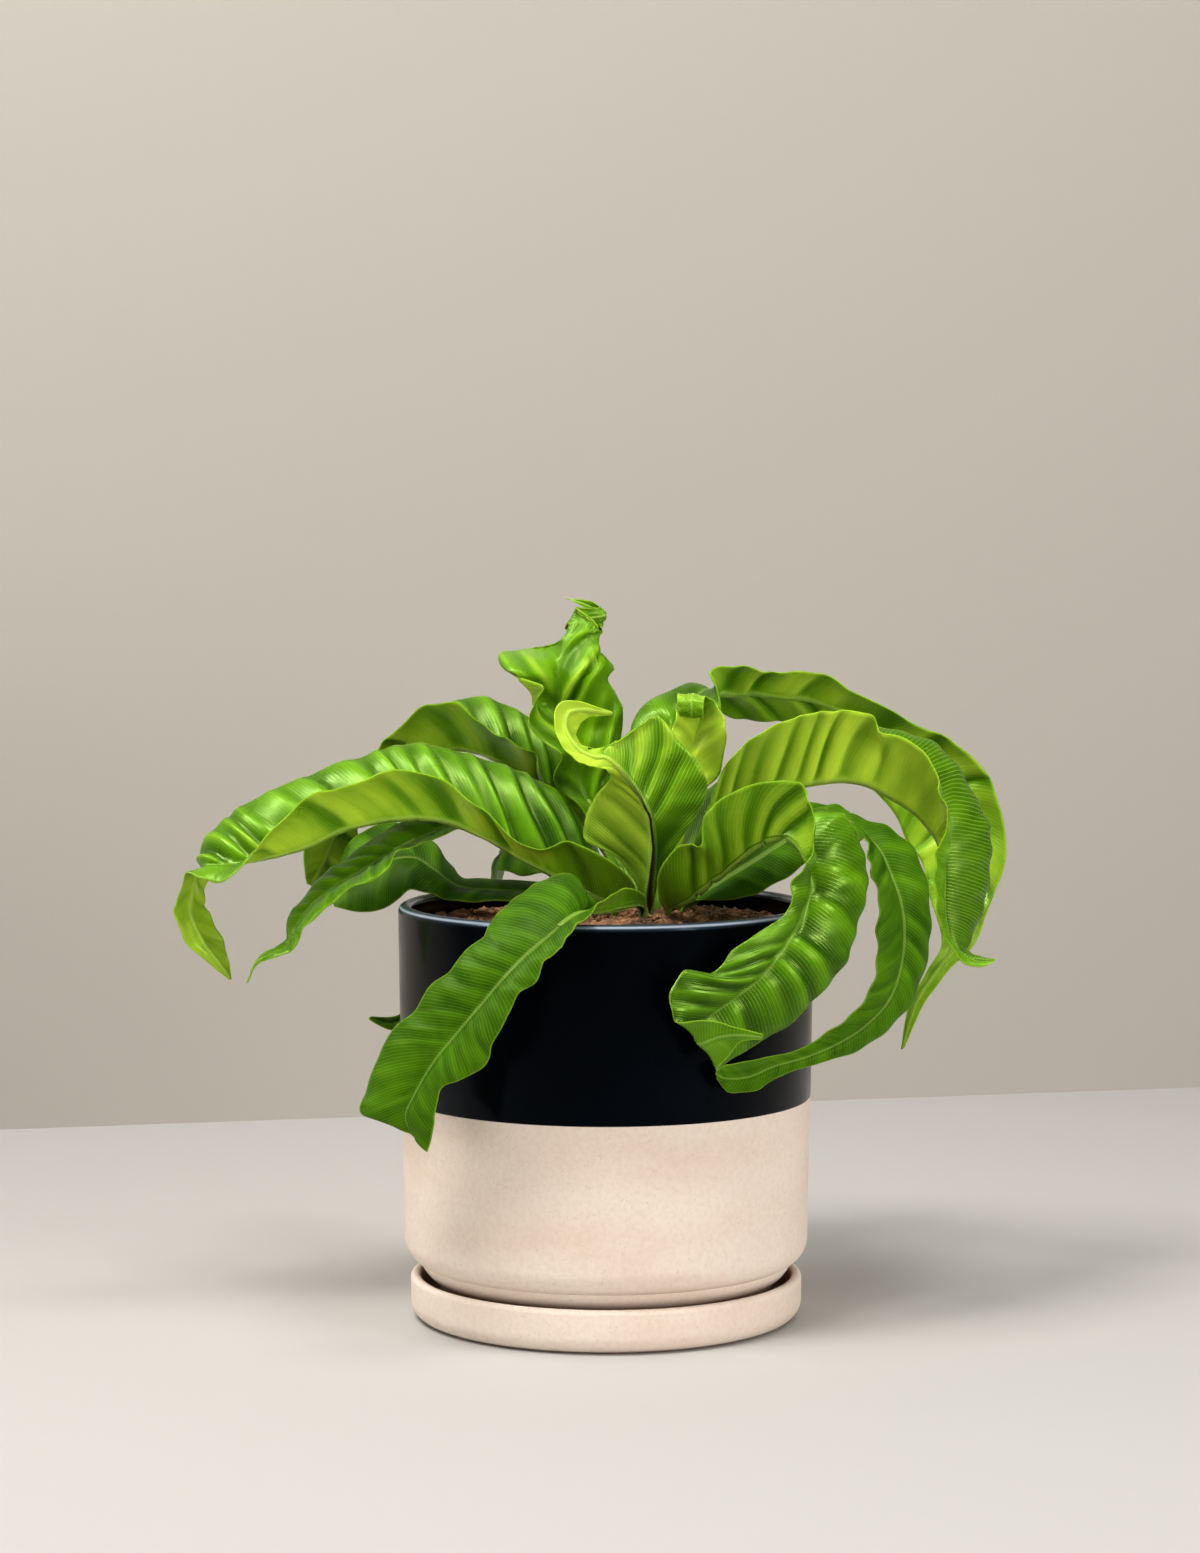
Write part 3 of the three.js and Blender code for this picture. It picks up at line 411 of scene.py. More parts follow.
ringRadii = [soilSizes["radius"] * (1 - i / soilSizes["rings"]) for i in range(soilSizes["rings"] + 1)]
soilOutline = [*soilSizes["side"], *((radius, soilSizes["level"]) for radius in ringRadii)]
bm = turnedShape(soilOutline, soilSizes["turns"], False)
for vert in bm.verts:
    if vert.co.z > (soilSizes["level"] - 0.3) * mm:
        x, y = vert.co.x / mm, vert.co.y / mm
        clods = noise.fractal(Vector((x, y, 0)) * 0.32, 0.7, 2.1, 4) * 1.1
        pits = noise.noise(Vector((x, y, 5)) * 0.9) * 0.5
        fade = max(0, 1 - (math.hypot(x, y) / soilSizes["radius"]) ** 12)
        vert.co.z = (soilHeight(x, y) + (clods + pits) * fade) * mm
bm.verts.layers.float.new("crumbTone")
draw = random.Random(soilSizes["seed"])
crumbShapes = [crumbShape(*kind, draw) for kind in soilSizes["kinds"]]
for _ in range(soilSizes["crumbs"]):
    turn, reach = draw.uniform(0, 2 * math.pi), soilSizes["crumbReach"] * math.sqrt(draw.uniform(0, 1))
    x, y = reach * math.cos(turn), reach * math.sin(turn)
    crumb = draw.choices(crumbShapes, soilSizes["shares"])[0].copy()
    lean = Vector((draw.uniform(-0.5, 0.5), draw.uniform(-0.5, 0.5), 1)).normalized()
    crumb.transform(Matrix.Translation((x * mm, y * mm, (soilHeight(x, y) + draw.uniform(0.1, 0.7)) * mm))
                    @ Matrix.Rotation(draw.uniform(0, soilSizes["crumbTurn"]), 4, lean)
                    @ Matrix.Scale(draw.uniform(0.75, 1.25), 4))
    bm.from_mesh(crumb)
    bpy.data.meshes.remove(crumb)
for shape in crumbShapes:
    bpy.data.meshes.remove(shape)
finishPiece(bm, "pottingMix", [soilMaterial()], ["soil"], smooth=False)
print("soil is made")


# Fronds: places
# foot is where the stalk stands in the soil. rows run from foot to tip, each with its left margin, midrib and right
# margin seen with the upper face up. A point is (across, up, near) in mm: its place on the upright plane through the
# pot's axis as the camera sees it, and how far it stands in front of that plane.
# folds are depth and length in mm, left half then right half; foldShare is their strength from foot to tip. lean is
# how far the side veins run toward the tip, veins how much they show, phase where the folds begin. tone runs from
# deep (0) to young green (1) along the frond: partly the young green of the tips, partly painted shade, set lower
# on fronds and parts that stand in shade. The value added on each half is painted light and shade: the lit half
# lighter, the half in shade darker. ribDark is the dark line along the midrib: strength, distance in mm, end; on the
# midrib it is the rib's own dark brown, set beside it over the groove it is painted shade. cord is how far the midrib
# stands up in mm. bows push the middle of each half by (across, up, near) at a row.
plainFrond = {"lean": (0.7, 0.7), "veins": (0.1, 0.1), "halfTone": (0, 0), "ribDark": (0, 0, 0.5), "cord": 0.0,
              "foldShare": (1, 1), "bows": {}, "matte": False}
fronds = {}
fronds["left_long"] = {
    "foot": (3, -8), "folds": (1.3, 19, 2.2, 9.5), "lean": (0.9, 0.7), "veins": (0.12, 0.1), "phase": 0.3,
    "tone": (0.27, 0.45, 0.55),
    "rows": [
        [[12, 170, 16], [2, 165, 8], [0, 173, -1]],
        [[3, 181, 22], [-9, 169, 10], [-7, 190, -9]],
        [[-14, 189.5, 24], [-21, 176.5, 11], [-15, 205, -13]],
        [[-29, 187, 24], [-33, 183, 10], [-29, 215, -14]],
        [[-46, 200, 21], [-49, 192, 9], [-43, 220.5, -14]],
        [[-63, 213.5, 17], [-66, 198.3, 8], [-62, 226, -14]],
        [[-84, 218.3, 16], [-84, 198.5, 8], [-78, 228.3, -12]],
        [[-103, 211.7, 18], [-103, 194.7, 9], [-98, 223, -11]],
        [[-117, 208.5, 19], [-119, 187.5, 9], [-119, 215.5, -10]],
        [[-134, 193, 19], [-135, 183, 9], [-138, 207, -8]],
        [[-150, 175, 17], [-149, 180.5, 7], [-150.5, 199, -8]],
        [[-160, 174.7, 14], [-158, 180, 4], [-161.5, 186, -9]],
        [[-167, 177, 9], [-162.5, 176.5, 2], [-158, 175.5, -9]],
        [[-170.3, 167, 5], [-165, 167, 0], [-159.5, 166.5, -8]],
        [[-172, 161, 3], [-165, 159, -2], [-157, 160, -9]],
        [[-167, 148.5, 1], [-160, 148.5, -3], [-152, 150, -10]],
        [[-156.5, 139.3, -3], [-153.5, 140, -5], [-150, 141.5, -8]],
        [[-150.3, 134.2, -6], [-149.6, 134.2, -6.5], [-148.9, 134.4, -7]],
    ]}
fronds["left_low"] = {
    "foot": (1, 3), "folds": (0.7, 6.5, 0.7, 6), "lean": (0.8, 0.8), "phase": 1.1, "tone": (0.3, 0.42, 0.45),
    "cord": 0.45,
    "rows": [
        [[-3, 165, -3], [-5, 168, -9], [-6, 170, -16]],
        [[-24, 180.5, -6], [-25, 186, -14], [-26, 193, -21]],
        [[-44, 191, -5], [-44, 196, -14], [-44, 203, -22]],
        [[-58, 194.6, -4], [-60, 196.3, -12], [-62, 203, -20]],
        [[-71, 189.5, 0], [-72, 191.3, -8], [-77, 198.5, -17]],
        [[-83, 185.5, 5], [-84, 185.2, -4], [-90, 192, -13]],
        [[-89, 176.5, 10], [-96, 178.5, -1], [-105, 181, -8]],
        [[-101, 171.5, 11], [-107, 171.5, 1], [-111, 177.5, -8]],
        [[-112, 162.5, 11], [-117, 163.5, 2], [-121, 166, -5]],
        [[-120.5, 155, 10], [-123.5, 154.5, 3], [-126.5, 159, -3]],
        [[-124, 147, 9], [-127, 147.5, 4], [-127, 151, 0]],
        [[-130, 143.8, 7], [-131, 145.5, 5], [-131.5, 147.3, 3]],
        [[-139, 140, 6], [-138.6, 142, 5], [-138, 143.5, 4.5]],
        [[-143.4, 132.8, 5], [-142.7, 133.1, 5], [-142, 133.4, 5]],
    ]}
fronds["left_top"] = {
    "foot": (7, 12), "folds": (1.5, 13, 1.8, 8.5), "lean": (0.8, 0.6), "veins": (0.1, 0.15), "phase": 2.0,
    "tone": (0.2, 0.36, 0.42),
    "rows": [
        [[5, 183, -23], [3, 181, -27], [2, 185, -32]],
        [[-7, 199, -32], [-9, 196, -38], [-3, 207, -45]],
        [[-23.5, 212, -31], [-21, 206, -41], [-13, 225, -52]],
        [[-27, 223.5, -29], [-33, 215.5, -42], [-28, 237, -57]],
        [[-38, 230.3, -28], [-44, 222.5, -44], [-40, 244, -60]],
        [[-48, 235.5, -32], [-54, 226, -47], [-52, 247, -63]],
        [[-59, 244.8, -35], [-64, 226, -49], [-64, 243, -66]],
        [[-73, 243, -40], [-75, 222, -52], [-76, 237, -68]],
        [[-86, 231.5, -43], [-86, 215, -54], [-87, 228, -69]],
        [[-99, 218, -46], [-97, 205, -56], [-98, 214, -69]],
        [[-112, 205, -48], [-107, 193, -57], [-99, 198, -68]],
        [[-120, 186, -50], [-112, 182, -58], [-98, 182, -66]],
        [[-119, 172.5, -54], [-117.5, 172, -57], [-115.5, 172.5, -60]],
    ]}
fronds["left_back_arm"] = {
    "foot": (-6, 13), "folds": (0.8, 15, 0.8, 14), "lean": (0.6, 0.6), "phase": 0.7, "tone": (0.12, 0.14, 0.2),
    "matte": True,
    "rows": [
        [[-11, 164.5, -8], [-13, 167, -15], [-12, 171, -21]],
        [[-27, 165.5, -10], [-29, 169, -19], [-28, 173.5, -27]],
        [[-44, 166, -12], [-44, 170, -22], [-43, 174.3, -32]],
        [[-60, 166, -15], [-58, 171.5, -25], [-57, 175, -36]],
        [[-69, 168.5, -19], [-68, 178, -29], [-63, 182, -41]],
        [[-78, 170.3, -22], [-76, 183, -32], [-71, 191, -45]],
        [[-83, 166, -24], [-86, 182, -34], [-84, 197, -46]],
        [[-90, 162, -26], [-95, 177, -35], [-97, 193, -46]],
        [[-99, 161.3, -28], [-103, 172, -35], [-105, 183, -43]],
        [[-108, 163.5, -31], [-108, 166, -34], [-108, 169, -38]],
    ]}
fronds["back_left"] = {
    "foot": (-2, 24), "folds": (1.0, 13, 1.0, 13), "phase": 1.7, "tone": (0.15, 0.22, 0.3), "matte": True,
    "rows": [
        [[-12, 168, -34], [-12, 172, -40], [-9, 175, -45]],
        [[-24, 176.5, -44], [-25, 182, -54], [-23, 187, -63]],
        [[-33, 175.5, -56], [-35, 186, -64], [-33, 192, -76]],
        [[-43.5, 177.5, -68], [-42, 184.5, -80], [-38, 189, -93]],
        [[-47.5, 166, -91], [-46, 171, -104], [-41, 175, -116]],
        [[-55, 151, -98], [-56, 156, -112], [-51, 160, -125]],
        [[-64, 134, -92], [-69, 138, -104], [-66, 140, -116]],
        [[-74, 119, -82], [-77, 124, -90], [-76, 128, -98]],
        [[-84, 114, -72], [-84.5, 117, -76], [-83, 120, -80]],
        [[-94, 118, -64], [-94, 118.8, -64.8], [-93.6, 119.5, -65.6]],
    ]}
fronds["top_center"] = {
    "foot": (11, 5), "folds": (0.9, 12, 1.9, 9.5), "lean": (0.9, 1.7), "veins": (0.2, 0.12), "phase": 0.2,
    "tone": (0.28, 0.33, 0.4, 0.46, 0.54, 0.6, 0.55, 0.12, 0.75), "cord": 0.3,
    "bows": {6: [[-5, -2.5, -6], [0, 0, 2]], 7: [[-9, -3, -8], [0, 0, 4]], 8: [[-2, 0, 8], [0, 0, 5]],
             9: [[0, 0, 3], [0, 0, 5]], 10: [[0, 0, -4], [0, 0, 4]], 11: [[0, 0, 0], [0, 0, 2]]},
    "rows": [
        [[4, 176, -14], [7, 178, -16], [12, 177, -14]],
        [[-3, 190, -19], [1, 190, -22], [9, 190, -19]],
        [[-10, 203, -20], [-6, 203, -25], [6, 203, -23]],
        [[-20.5, 213, -20], [-11, 215, -27], [6, 215, -28]],
        [[-17.5, 224, -10], [-14, 226, -25], [6, 228, -30]],
        [[-29.5, 234, -13], [-16.5, 233, -26], [7, 236, -32]],
        [[-27.8, 244.5, -8], [-18, 240, -27], [6.7, 242, -32]],
        [[-25, 251.2, -5], [-18.7, 247, -27], [4, 248.5, -31]],
        [[-40, 257.4, -12], [-19, 253, -27], [0.8, 254, -28]],
        [[-41.8, 264.5, -22], [-18.7, 258.5, -27], [3.5, 258.5, -30]],
        [[-30, 266, -36], [-17.5, 264, -28], [-1.5, 264.5, -28]],
        [[-19, 268.5, -33], [-15.5, 270, -29], [-2.5, 269.5, -29]],
        [[-14.5, 276, -31], [-11.5, 276.5, -30], [-1.6, 274, -30]],
        [[-16.2, 273.5, -34.5], [-13.8, 278, -33.5], [-11.8, 281.7, -33]],
        [[-7, 273, -38.5], [-6, 278, -38], [-6.5, 282, -37]],
        [[-1.4, 274.8, -40], [0.2, 279.3, -40.5], [-2.6, 282.6, -40]],
        [[-8, 281.6, -43], [-7, 283.3, -43.5], [-7, 285, -43]],
        [[-16, 286.3, -45], [-15.4, 286, -45.2], [-15, 285.6, -45.5]],
    ]}
fronds["center_front"] = {
    "foot": (17, -6), "folds": (1.1, 9, 1.1, 8), "lean": (0.8, 0.9), "veins": (0.25, 0.45), "phase": 0.9,
    "tone": (0.24, 0.26, 0.28, 0.3, 0.62, 0.85, 0.85), "halfTone": (-0.12, 0.26), "ribDark": (1.0, 0, 0.62),
    "rows": [
        [[20.5, 172, 7], [17.3, 170, 8], [11.5, 173, 5]],
        [[23.5, 181, 7], [18.2, 179, 9], [4, 183, 4]],
        [[30, 191, 8], [18.6, 189, 11], [-8.5, 190, 5]],
        [[36.5, 201, 9], [17.6, 198, 14], [-8, 200, 7]],
        [[40.3, 211, 10], [14.8, 205, 16], [-4, 208, 11]],
        [[36.5, 221, 11], [10, 212.5, 18], [1.5, 214.5, 18]],
        [[29, 229.5, 12], [5, 218.5, 21], [0, 217.8, 25]],
        [[20, 239.5, 13], [0, 222.5, 23], [-4.5, 219, 28]],
        [[10, 233, 17], [-5, 223, 25], [-9, 220.2, 30]],
        [[0, 226.7, 21], [-10, 225, 26], [-14, 223.5, 31]],
        [[-9, 227, 22], [-14, 229.5, 27], [-18.5, 229, 31]],
        [[-12, 231.5, 22], [-16.5, 235, 26], [-20.5, 236, 30]],
        [[-10, 236.5, 20], [-15, 240.5, 24], [-19, 244, 28]],
        [[-6.5, 238.8, 18], [-9, 241.8, 21], [-12, 245.3, 24]],
        [[-1, 239.5, 15], [-1.5, 240.8, 17], [-3, 242.7, 19]],
        [[2, 239.8, 13], [2.3, 240.4, 13.4], [2, 241.2, 14]],
    ]}
fronds["small_coil"] = {
    "foot": (20, 5), "folds": (0.35, 11, 0.45, 12), "lean": (0.8, 0.8), "veins": (0.15, 0.15), "phase": 1.4,
    "tone": (0.6, 0.8, 0.95, 1.0, 1.0, 0.9, 0.35, 0.25), "cord": 0.2,
    "rows": [
        [[19, 173, -7], [21, 174, -8], [24, 174, -8]],
        [[19, 189, -9], [24, 189, -9], [30, 188, -9]],
        [[20, 204, -9], [27, 204, -11], [36, 206, -9]],
        [[24, 218, -8], [31, 217, -12], [45, 216, -10]],
        [[25, 230, -8], [34.5, 229, -13], [47.8, 230, -10]],
        [[27.5, 238, -8], [37, 238, -13], [47, 238.5, -10]],
        [[28.2, 244, -8], [36.5, 244.5, -11], [43, 245, -9]],
        [[28.2, 247.8, -6.5], [34.5, 247.6, -5.5], [39.6, 246.9, -4]],
        [[28, 246, -2.6], [33.8, 245.6, -1.6], [38.9, 245, -0.2]],
        [[28.2, 243.2, -2], [33.8, 242.6, -0.8], [38.6, 242, 0.6]],
        [[28.8, 240.4, -3.2], [33.9, 239.7, -2.2], [38.5, 239.1, -0.9]],
        [[29.4, 239.7, -6.2], [34.1, 239, -5.2], [38.6, 238.5, -4]],
        [[29.8, 241.6, -8.2], [34.3, 241.4, -7.4], [38.8, 240.8, -6.4]],
        [[30, 244.6, -7.4], [34.3, 244.4, -6.4], [38.6, 244, -5.2]],
        [[30.2, 243.6, -5], [34.1, 243.2, -4], [38, 242.8, -3]],
    ]}
fronds["right_back"] = {
    "foot": (18, 17), "folds": (2.4, 20, 2.2, 18), "veins": (0.12, 0.12), "phase": 2.6, "tone": (0.28, 0.4, 0.42),
    "rows": [
        [[15, 178, -31], [20, 177, -29], [26, 177, -29]],
        [[10, 203, -47], [20, 200, -43], [31, 199, -41]],
        [[8, 226, -60], [23, 222, -55], [39, 220, -50]],
        [[14, 242.5, -70], [29, 238, -64], [46, 235, -52]],
        [[34, 253, -80], [38.5, 249.5, -70], [45, 245.5, -54]],
        [[46, 241, -86], [45, 248, -73], [40.5, 256.5, -58]],
        [[56, 237.8, -88], [56, 248.5, -75], [51, 259, -61]],
        [[70, 237, -86], [70, 247.5, -75], [67, 256.3, -63]],
        [[83, 231, -84], [86, 244.5, -74], [83, 256.8, -63]],
        [[95, 221, -80], [102, 236.5, -72], [99, 248.5, -62]],
        [[107, 209, -77], [118, 226, -70], [120, 237.2, -60]],
        [[115, 199.5, -74], [132, 214, -67], [138, 228.5, -58]],
        [[120, 188, -71], [141, 199, -64], [152.5, 214, -56]],
        [[125.5, 180.5, -67], [145, 182, -60], [159, 185, -53]],
        [[129, 166, -61], [142, 164, -56], [152, 163, -51]],
        [[133.5, 149, -55], [140, 149, -52], [146.5, 148, -48]],
        [[127.5, 137, -53], [132, 137.5, -50], [137, 138.5, -47]],
        [[120.5, 123, -50], [123.5, 124, -48], [126.5, 124, -46]],
        [[117.6, 106.2, -47], [118.4, 106.4, -46.6], [119.1, 107, -46]],
    ]}
fronds["right_arch"] = {
    "foot": (27, 8), "folds": (0.4, 14, 1.3, 9.5), "foldShare": (1, 1, 1.1, 1, 0.3, 0.2, 0.2), "lean": (0.5, 0.4),
    "veins": (0.3, 0.1), "phase": 0.5, "tone": (0.34, 0.56, 0.5), "halfTone": (-0.26, 0.04),
    "rows": [
        [[29, 175, -16], [30, 172, -12], [33, 172, -6]],
        [[31, 192, -26], [35, 186, -17], [39, 188, -6]],
        [[37, 207, -28], [42, 198, -15], [43, 210, -3]],
        [[50, 219, -28], [52, 206, -13], [50, 223, 2]],
        [[62, 229, -26], [64, 211, -10], [62, 233, 6]],
        [[76, 235, -24], [78, 212.3, -8], [76, 239, 8]],
        [[91, 237.5, -22], [92, 214, -7], [90, 241.3, 8]],
        [[104, 236.5, -22], [103, 212.5, -7], [104.5, 240, 9]],
        [[117, 233.5, -23], [113, 207.3, -7], [109, 233, 9]],
        [[130, 229.3, -25], [122.5, 201.3, -6], [120.5, 229.3, 10]],
        [[140, 219.5, -25], [128.5, 194.8, -6], [130, 219, 10]],
        [[147, 207, -23], [132, 189.5, -5], [132, 209, 11]],
        [[152.3, 196.5, -21], [134, 183, -5], [135.5, 199, 9]],
        [[153.5, 186, -19], [134.5, 175, -4], [131, 185, 7]],
        [[152.5, 173, -17], [134.5, 166, -3], [130.2, 175, 7]],
        [[150, 161, -14], [135.3, 157, -2], [131.5, 162, 6]],
        [[145, 148.5, -7], [138, 149, -1], [134.5, 151.5, 4]],
        [[144.5, 145.8, -3], [143.5, 143.5, 1], [142, 141, 4]],
        [[149, 143.7, 0], [149, 141.5, 2], [149, 139.2, 4]],
        [[154.3, 142.6, 2], [154.7, 142, 2.4], [154.4, 141.3, 3]],
    ]}
fronds["right_hook"] = {
    "foot": (31, -3), "folds": (0.4, 10, 0.35, 9), "lean": (0.9, 0.9), "veins": (0.12, 0.12), "phase": 1.9,
    "tone": (0.2, 0.22, 0.25), "cord": 0.15, "matte": True,
    "rows": [
        [[33, 169, -3], [34, 165.5, 3], [35, 166, 9]],
        [[42, 184, -5], [45, 173, 6], [48, 166, 16]],
        [[54, 195, -2], [58, 181, 10], [60, 168.5, 21]],
        [[68, 203, 2], [72, 190, 14], [72, 175, 24]],
        [[81, 205, 6], [84, 197, 18], [86, 184, 30]],
        [[92, 204.3, 12], [95, 198, 23], [99, 188.5, 36]],
        [[99.5, 200, 16], [102.5, 192, 27], [103, 190, 39]],
        [[111.5, 196, 20], [109, 185, 31], [103.8, 183.5, 43]],
        [[122, 187.5, 24], [113, 176, 34], [105, 176, 45]],
        [[128, 173, 28], [117, 165, 37], [108, 166, 46]],
        [[129.6, 156, 30], [118.5, 152, 39], [107, 154, 48]],
        [[128, 141, 32], [117, 138.5, 42], [107.3, 142, 50]],
        [[122, 124.5, 38], [112.5, 126, 46], [104.5, 130, 53]],
        [[111, 112.5, 46], [103.5, 116, 52], [97, 120, 57]],
        [[99, 104.8, 54], [93, 109, 58], [88, 113.5, 61]],
        [[84, 100.2, 62], [80, 103.3, 64], [77, 106.5, 65]],
        [[70, 95.5, 68], [67, 99.5, 70], [64, 103.3, 70]],
        [[60, 89.6, 72], [57, 95.3, 74], [54, 101.3, 74]],
        [[49, 88.8, 75], [48, 94.5, 77], [47, 100, 77]],
        [[43.9, 94.5, 78], [43.7, 96.5, 78.4], [44, 98, 78.4]],
    ]}
fronds["right_front"] = {
    "foot": (25, -13), "folds": (1.0, 12, 1.0, 9.5), "foldShare": (1.4, 1.5, 1.1, 0.9, 0.9), "lean": (0.6, 0.6),
    # its dark line lies beside the midrib over the groove: painted shade
    "veins": (0.12, 0.12), "phase": 2.4, "tone": (0.34, 0.32, 0.14), "ribDark": (0.9, 1.4, 0.5), "cord": 0.2,
    "rows": [
        [[30, 167, 12], [27, 163.5, 18], [21, 166, 23]],
        [[38, 182, 14], [34, 167, 25], [21, 177, 34]],
        [[44, 192, 18], [41, 172.5, 30], [29, 188, 40]],
        [[50, 198, 22], [48, 178, 35], [37.3, 188, 49]],
        [[58, 202, 28], [55.5, 184.3, 40], [39, 200, 52]],
        [[67, 203.5, 34], [62.5, 188.7, 45], [51, 209.5, 55]],
        [[77, 204, 39], [68.5, 190.7, 49], [63, 213, 59]],
        [[86, 203, 43], [73.5, 189.5, 53], [76, 213, 63]],
        [[94, 200.5, 46], [77.5, 185.5, 57], [80.6, 204.5, 67]],
        [[99.5, 194, 48], [79.8, 180, 60], [82.6, 192, 70]],
        [[103, 184, 50], [81, 174, 62], [79.5, 181, 71]],
        [[104.4, 174, 52], [80.8, 168, 64], [73.3, 173, 70]],
        [[103, 164, 55], [79, 162, 67], [72.3, 162.5, 71]],
        [[99.3, 152, 60], [75, 153.5, 71], [61, 153.5, 77]],
        [[96, 141, 66], [69, 144.5, 76], [50, 146, 82]],
        [[87, 130, 70], [62, 135.5, 80], [42, 137, 86]],
        [[74, 116.5, 74], [51, 126.5, 84], [31, 138, 90]],
        [[59, 107.5, 80], [40.5, 118.5, 88], [25, 128.5, 93]],
        [[44.5, 98, 88], [36.5, 109, 93], [27.5, 117.5, 96]],
        [[49, 103.5, 96], [45, 111.5, 99], [40, 118, 101]],
        [[54, 109.5, 100], [53, 112.3, 102], [51, 115.3, 103]],
        [[62, 110.2, 103], [62.3, 111.2, 103.4], [62.6, 112.4, 104]],
    ]}
fronds["front_left_drape"] = {
    "foot": (14, -19), "folds": (0.25, 7, 0.25, 8), "lean": (0.5, 0.5), "veins": (0.12, 0.12), "phase": 1.2,
    # its dark line lies beside the midrib over the groove: painted shade
    "tone": (0.16, 0.2, 0.26), "ribDark": (0.3, 1.5, 0.7), "cord": 0.6, "matte": True,
    "rows": [
        [[15, 168, 28], [12.5, 163.8, 29], [10, 165, 25]],
        [[8, 171, 41], [5, 162.3, 43], [4, 165, 36]],
        [[2, 168.3, 57], [-2, 161, 58], [-3, 165, 48]],
        [[-3.5, 164.8, 71], [-7, 160.8, 69], [-8.5, 169, 56]],
        [[-6.5, 160, 84], [-11, 160.3, 79], [-14, 176.5, 61]],
        [[-11.5, 156.8, 94], [-16, 157.3, 87], [-25, 174, 66]],
        [[-16, 151, 100], [-21, 153, 92], [-33, 169, 72]],
        [[-19.5, 145.8, 103], [-26, 148.8, 96], [-40, 163.5, 78]],
        [[-25, 141.5, 104], [-32, 143.7, 98], [-46, 157, 84]],
        [[-28, 133.2, 105], [-38, 137.7, 99], [-49, 151.3, 88]],
        [[-35, 128.8, 105], [-43.5, 131.6, 98], [-56, 146, 88]],
        [[-40, 118.5, 104], [-49, 125, 96], [-62.5, 137.5, 86]],
        [[-45.7, 108, 102], [-55, 118, 94], [-70, 132, 83]],
        [[-48.5, 99.5, 99], [-61, 110.8, 91], [-76.5, 121.5, 79]],
        [[-59, 93.5, 95], [-67, 103.5, 88], [-84.5, 115, 75]],
        [[-66, 90.3, 91], [-72, 96, 85], [-91, 103, 72]],
        [[-68.5, 80, 88], [-77, 87, 82], [-96, 89, 70]],
        [[-69.5, 72, 86], [-80, 79.5, 80], [-98, 80.5, 70]],
        [[-71.5, 64.8, 84], [-77.5, 72, 80], [-88, 77.5, 74]],
    ]}
fronds["back_mid"] = {
    "foot": (13, 26), "folds": (1.2, 11, 1.2, 11), "phase": 0.4, "tone": (0.2, 0.33, 0.4), "cord": 0.2,
    "rows": [
        [[6, 172, -42], [12, 172, -42], [18, 172, -42]],
        [[-1, 190, -60], [12, 188, -62], [24, 190, -60]],
        [[-3, 203, -80], [14, 200, -84], [31, 203, -80]],
        [[0, 205, -102], [17, 203, -106], [34, 206, -102]],
        [[6, 199, -124], [20, 197, -128], [35, 200, -124]],
        [[13, 185, -142], [23, 184, -145], [33, 187, -142]],
        [[26.5, 165, -154], [27.5, 164.8, -154.6], [28.5, 165.4, -154]],
    ]}
fronds["back_right"] = {
    "foot": (28, 19), "folds": (1.2, 12, 1.2, 12), "phase": 1.5, "tone": (0.2, 0.33, 0.4), "cord": 0.2,
    "rows": [
        [[31, 177, -35], [33, 175, -30], [36, 176, -26]],
        [[41, 192, -64], [48, 188, -57], [55, 192, -46]],
        [[50, 204, -90], [60, 197, -80], [70, 201, -66]],
        [[64, 207, -112], [73, 199, -102], [82, 200, -88]],
        [[78, 200, -130], [85, 194, -120], [92, 193, -108]],
        [[90, 186, -140], [94, 183, -133], [98, 182, -126]],
        [[99.5, 170, -138], [100, 169.6, -137.4], [100.6, 170, -137]],
    ]}
fronds["back_far_left"] = {
    "foot": (4, 20), "folds": (1.2, 11, 1.2, 11), "phase": 2.2, "tone": (0.2, 0.33, 0.4), "cord": 0.2,
    "rows": [
        [[0, 181, -34], [-2, 181, -41], [-2, 184, -47]],
        [[-20, 196, -52], [-19, 193, -66], [-12, 199, -78]],
        [[-38, 203, -70], [-34, 201, -86], [-26, 205, -100]],
        [[-54, 208, -88], [-49, 205, -104], [-40, 209, -118]],
        [[-68, 208, -106], [-62, 204, -120], [-54, 208, -132]],
        [[-78, 203, -124], [-73, 201, -134], [-66, 204, -142]],
        [[-84.5, 198, -142], [-84, 197.6, -142.8], [-83.4, 198, -143.6]],
    ]}

# Fronds: build
blade = {"bandsPerFold": 9, "fewestBands": 8, "mostBands": 20, "columnsPerHalf": 17, "spread": 1.3, "halfArch": 0.1,
         "leanRise": 18, "leanEnd": 25, "evenShare": 0.03, "nearby": 0.08, "stalkRadius": 1.6, "stalkLift": 1.2,
         "stalkHeights": (151.4, 162.5), "stalkReach": 26, "stalkThickness": 0.6, "marginThickness": 0.4,
         "bladeThickness": 0.72, "ribThickness": 1.3, "ribWidth": 1.1, "mostThickness": 2.8, "grooveDepth": 0.22,
         "grooveWidth": 0.6, "grooveSide": 1.5, "cordWidth": 0.9, "waveStart": 14, "waveRise": 25, "waveEnd": 12,
         "fullWidth": 15, "fullDepth": 1.1, "halfTurn": 1.9, "edgeWave": 1.0, "edgeScallop": 0.35, "textureLength": 400}


def fromEye(point):
    across, up, near = point
    k = near / view["eyeDistance"]
    return np.array((across * (1 - k), -near, up * (1 - k) + view["eyeHeight"] * k)) * mm


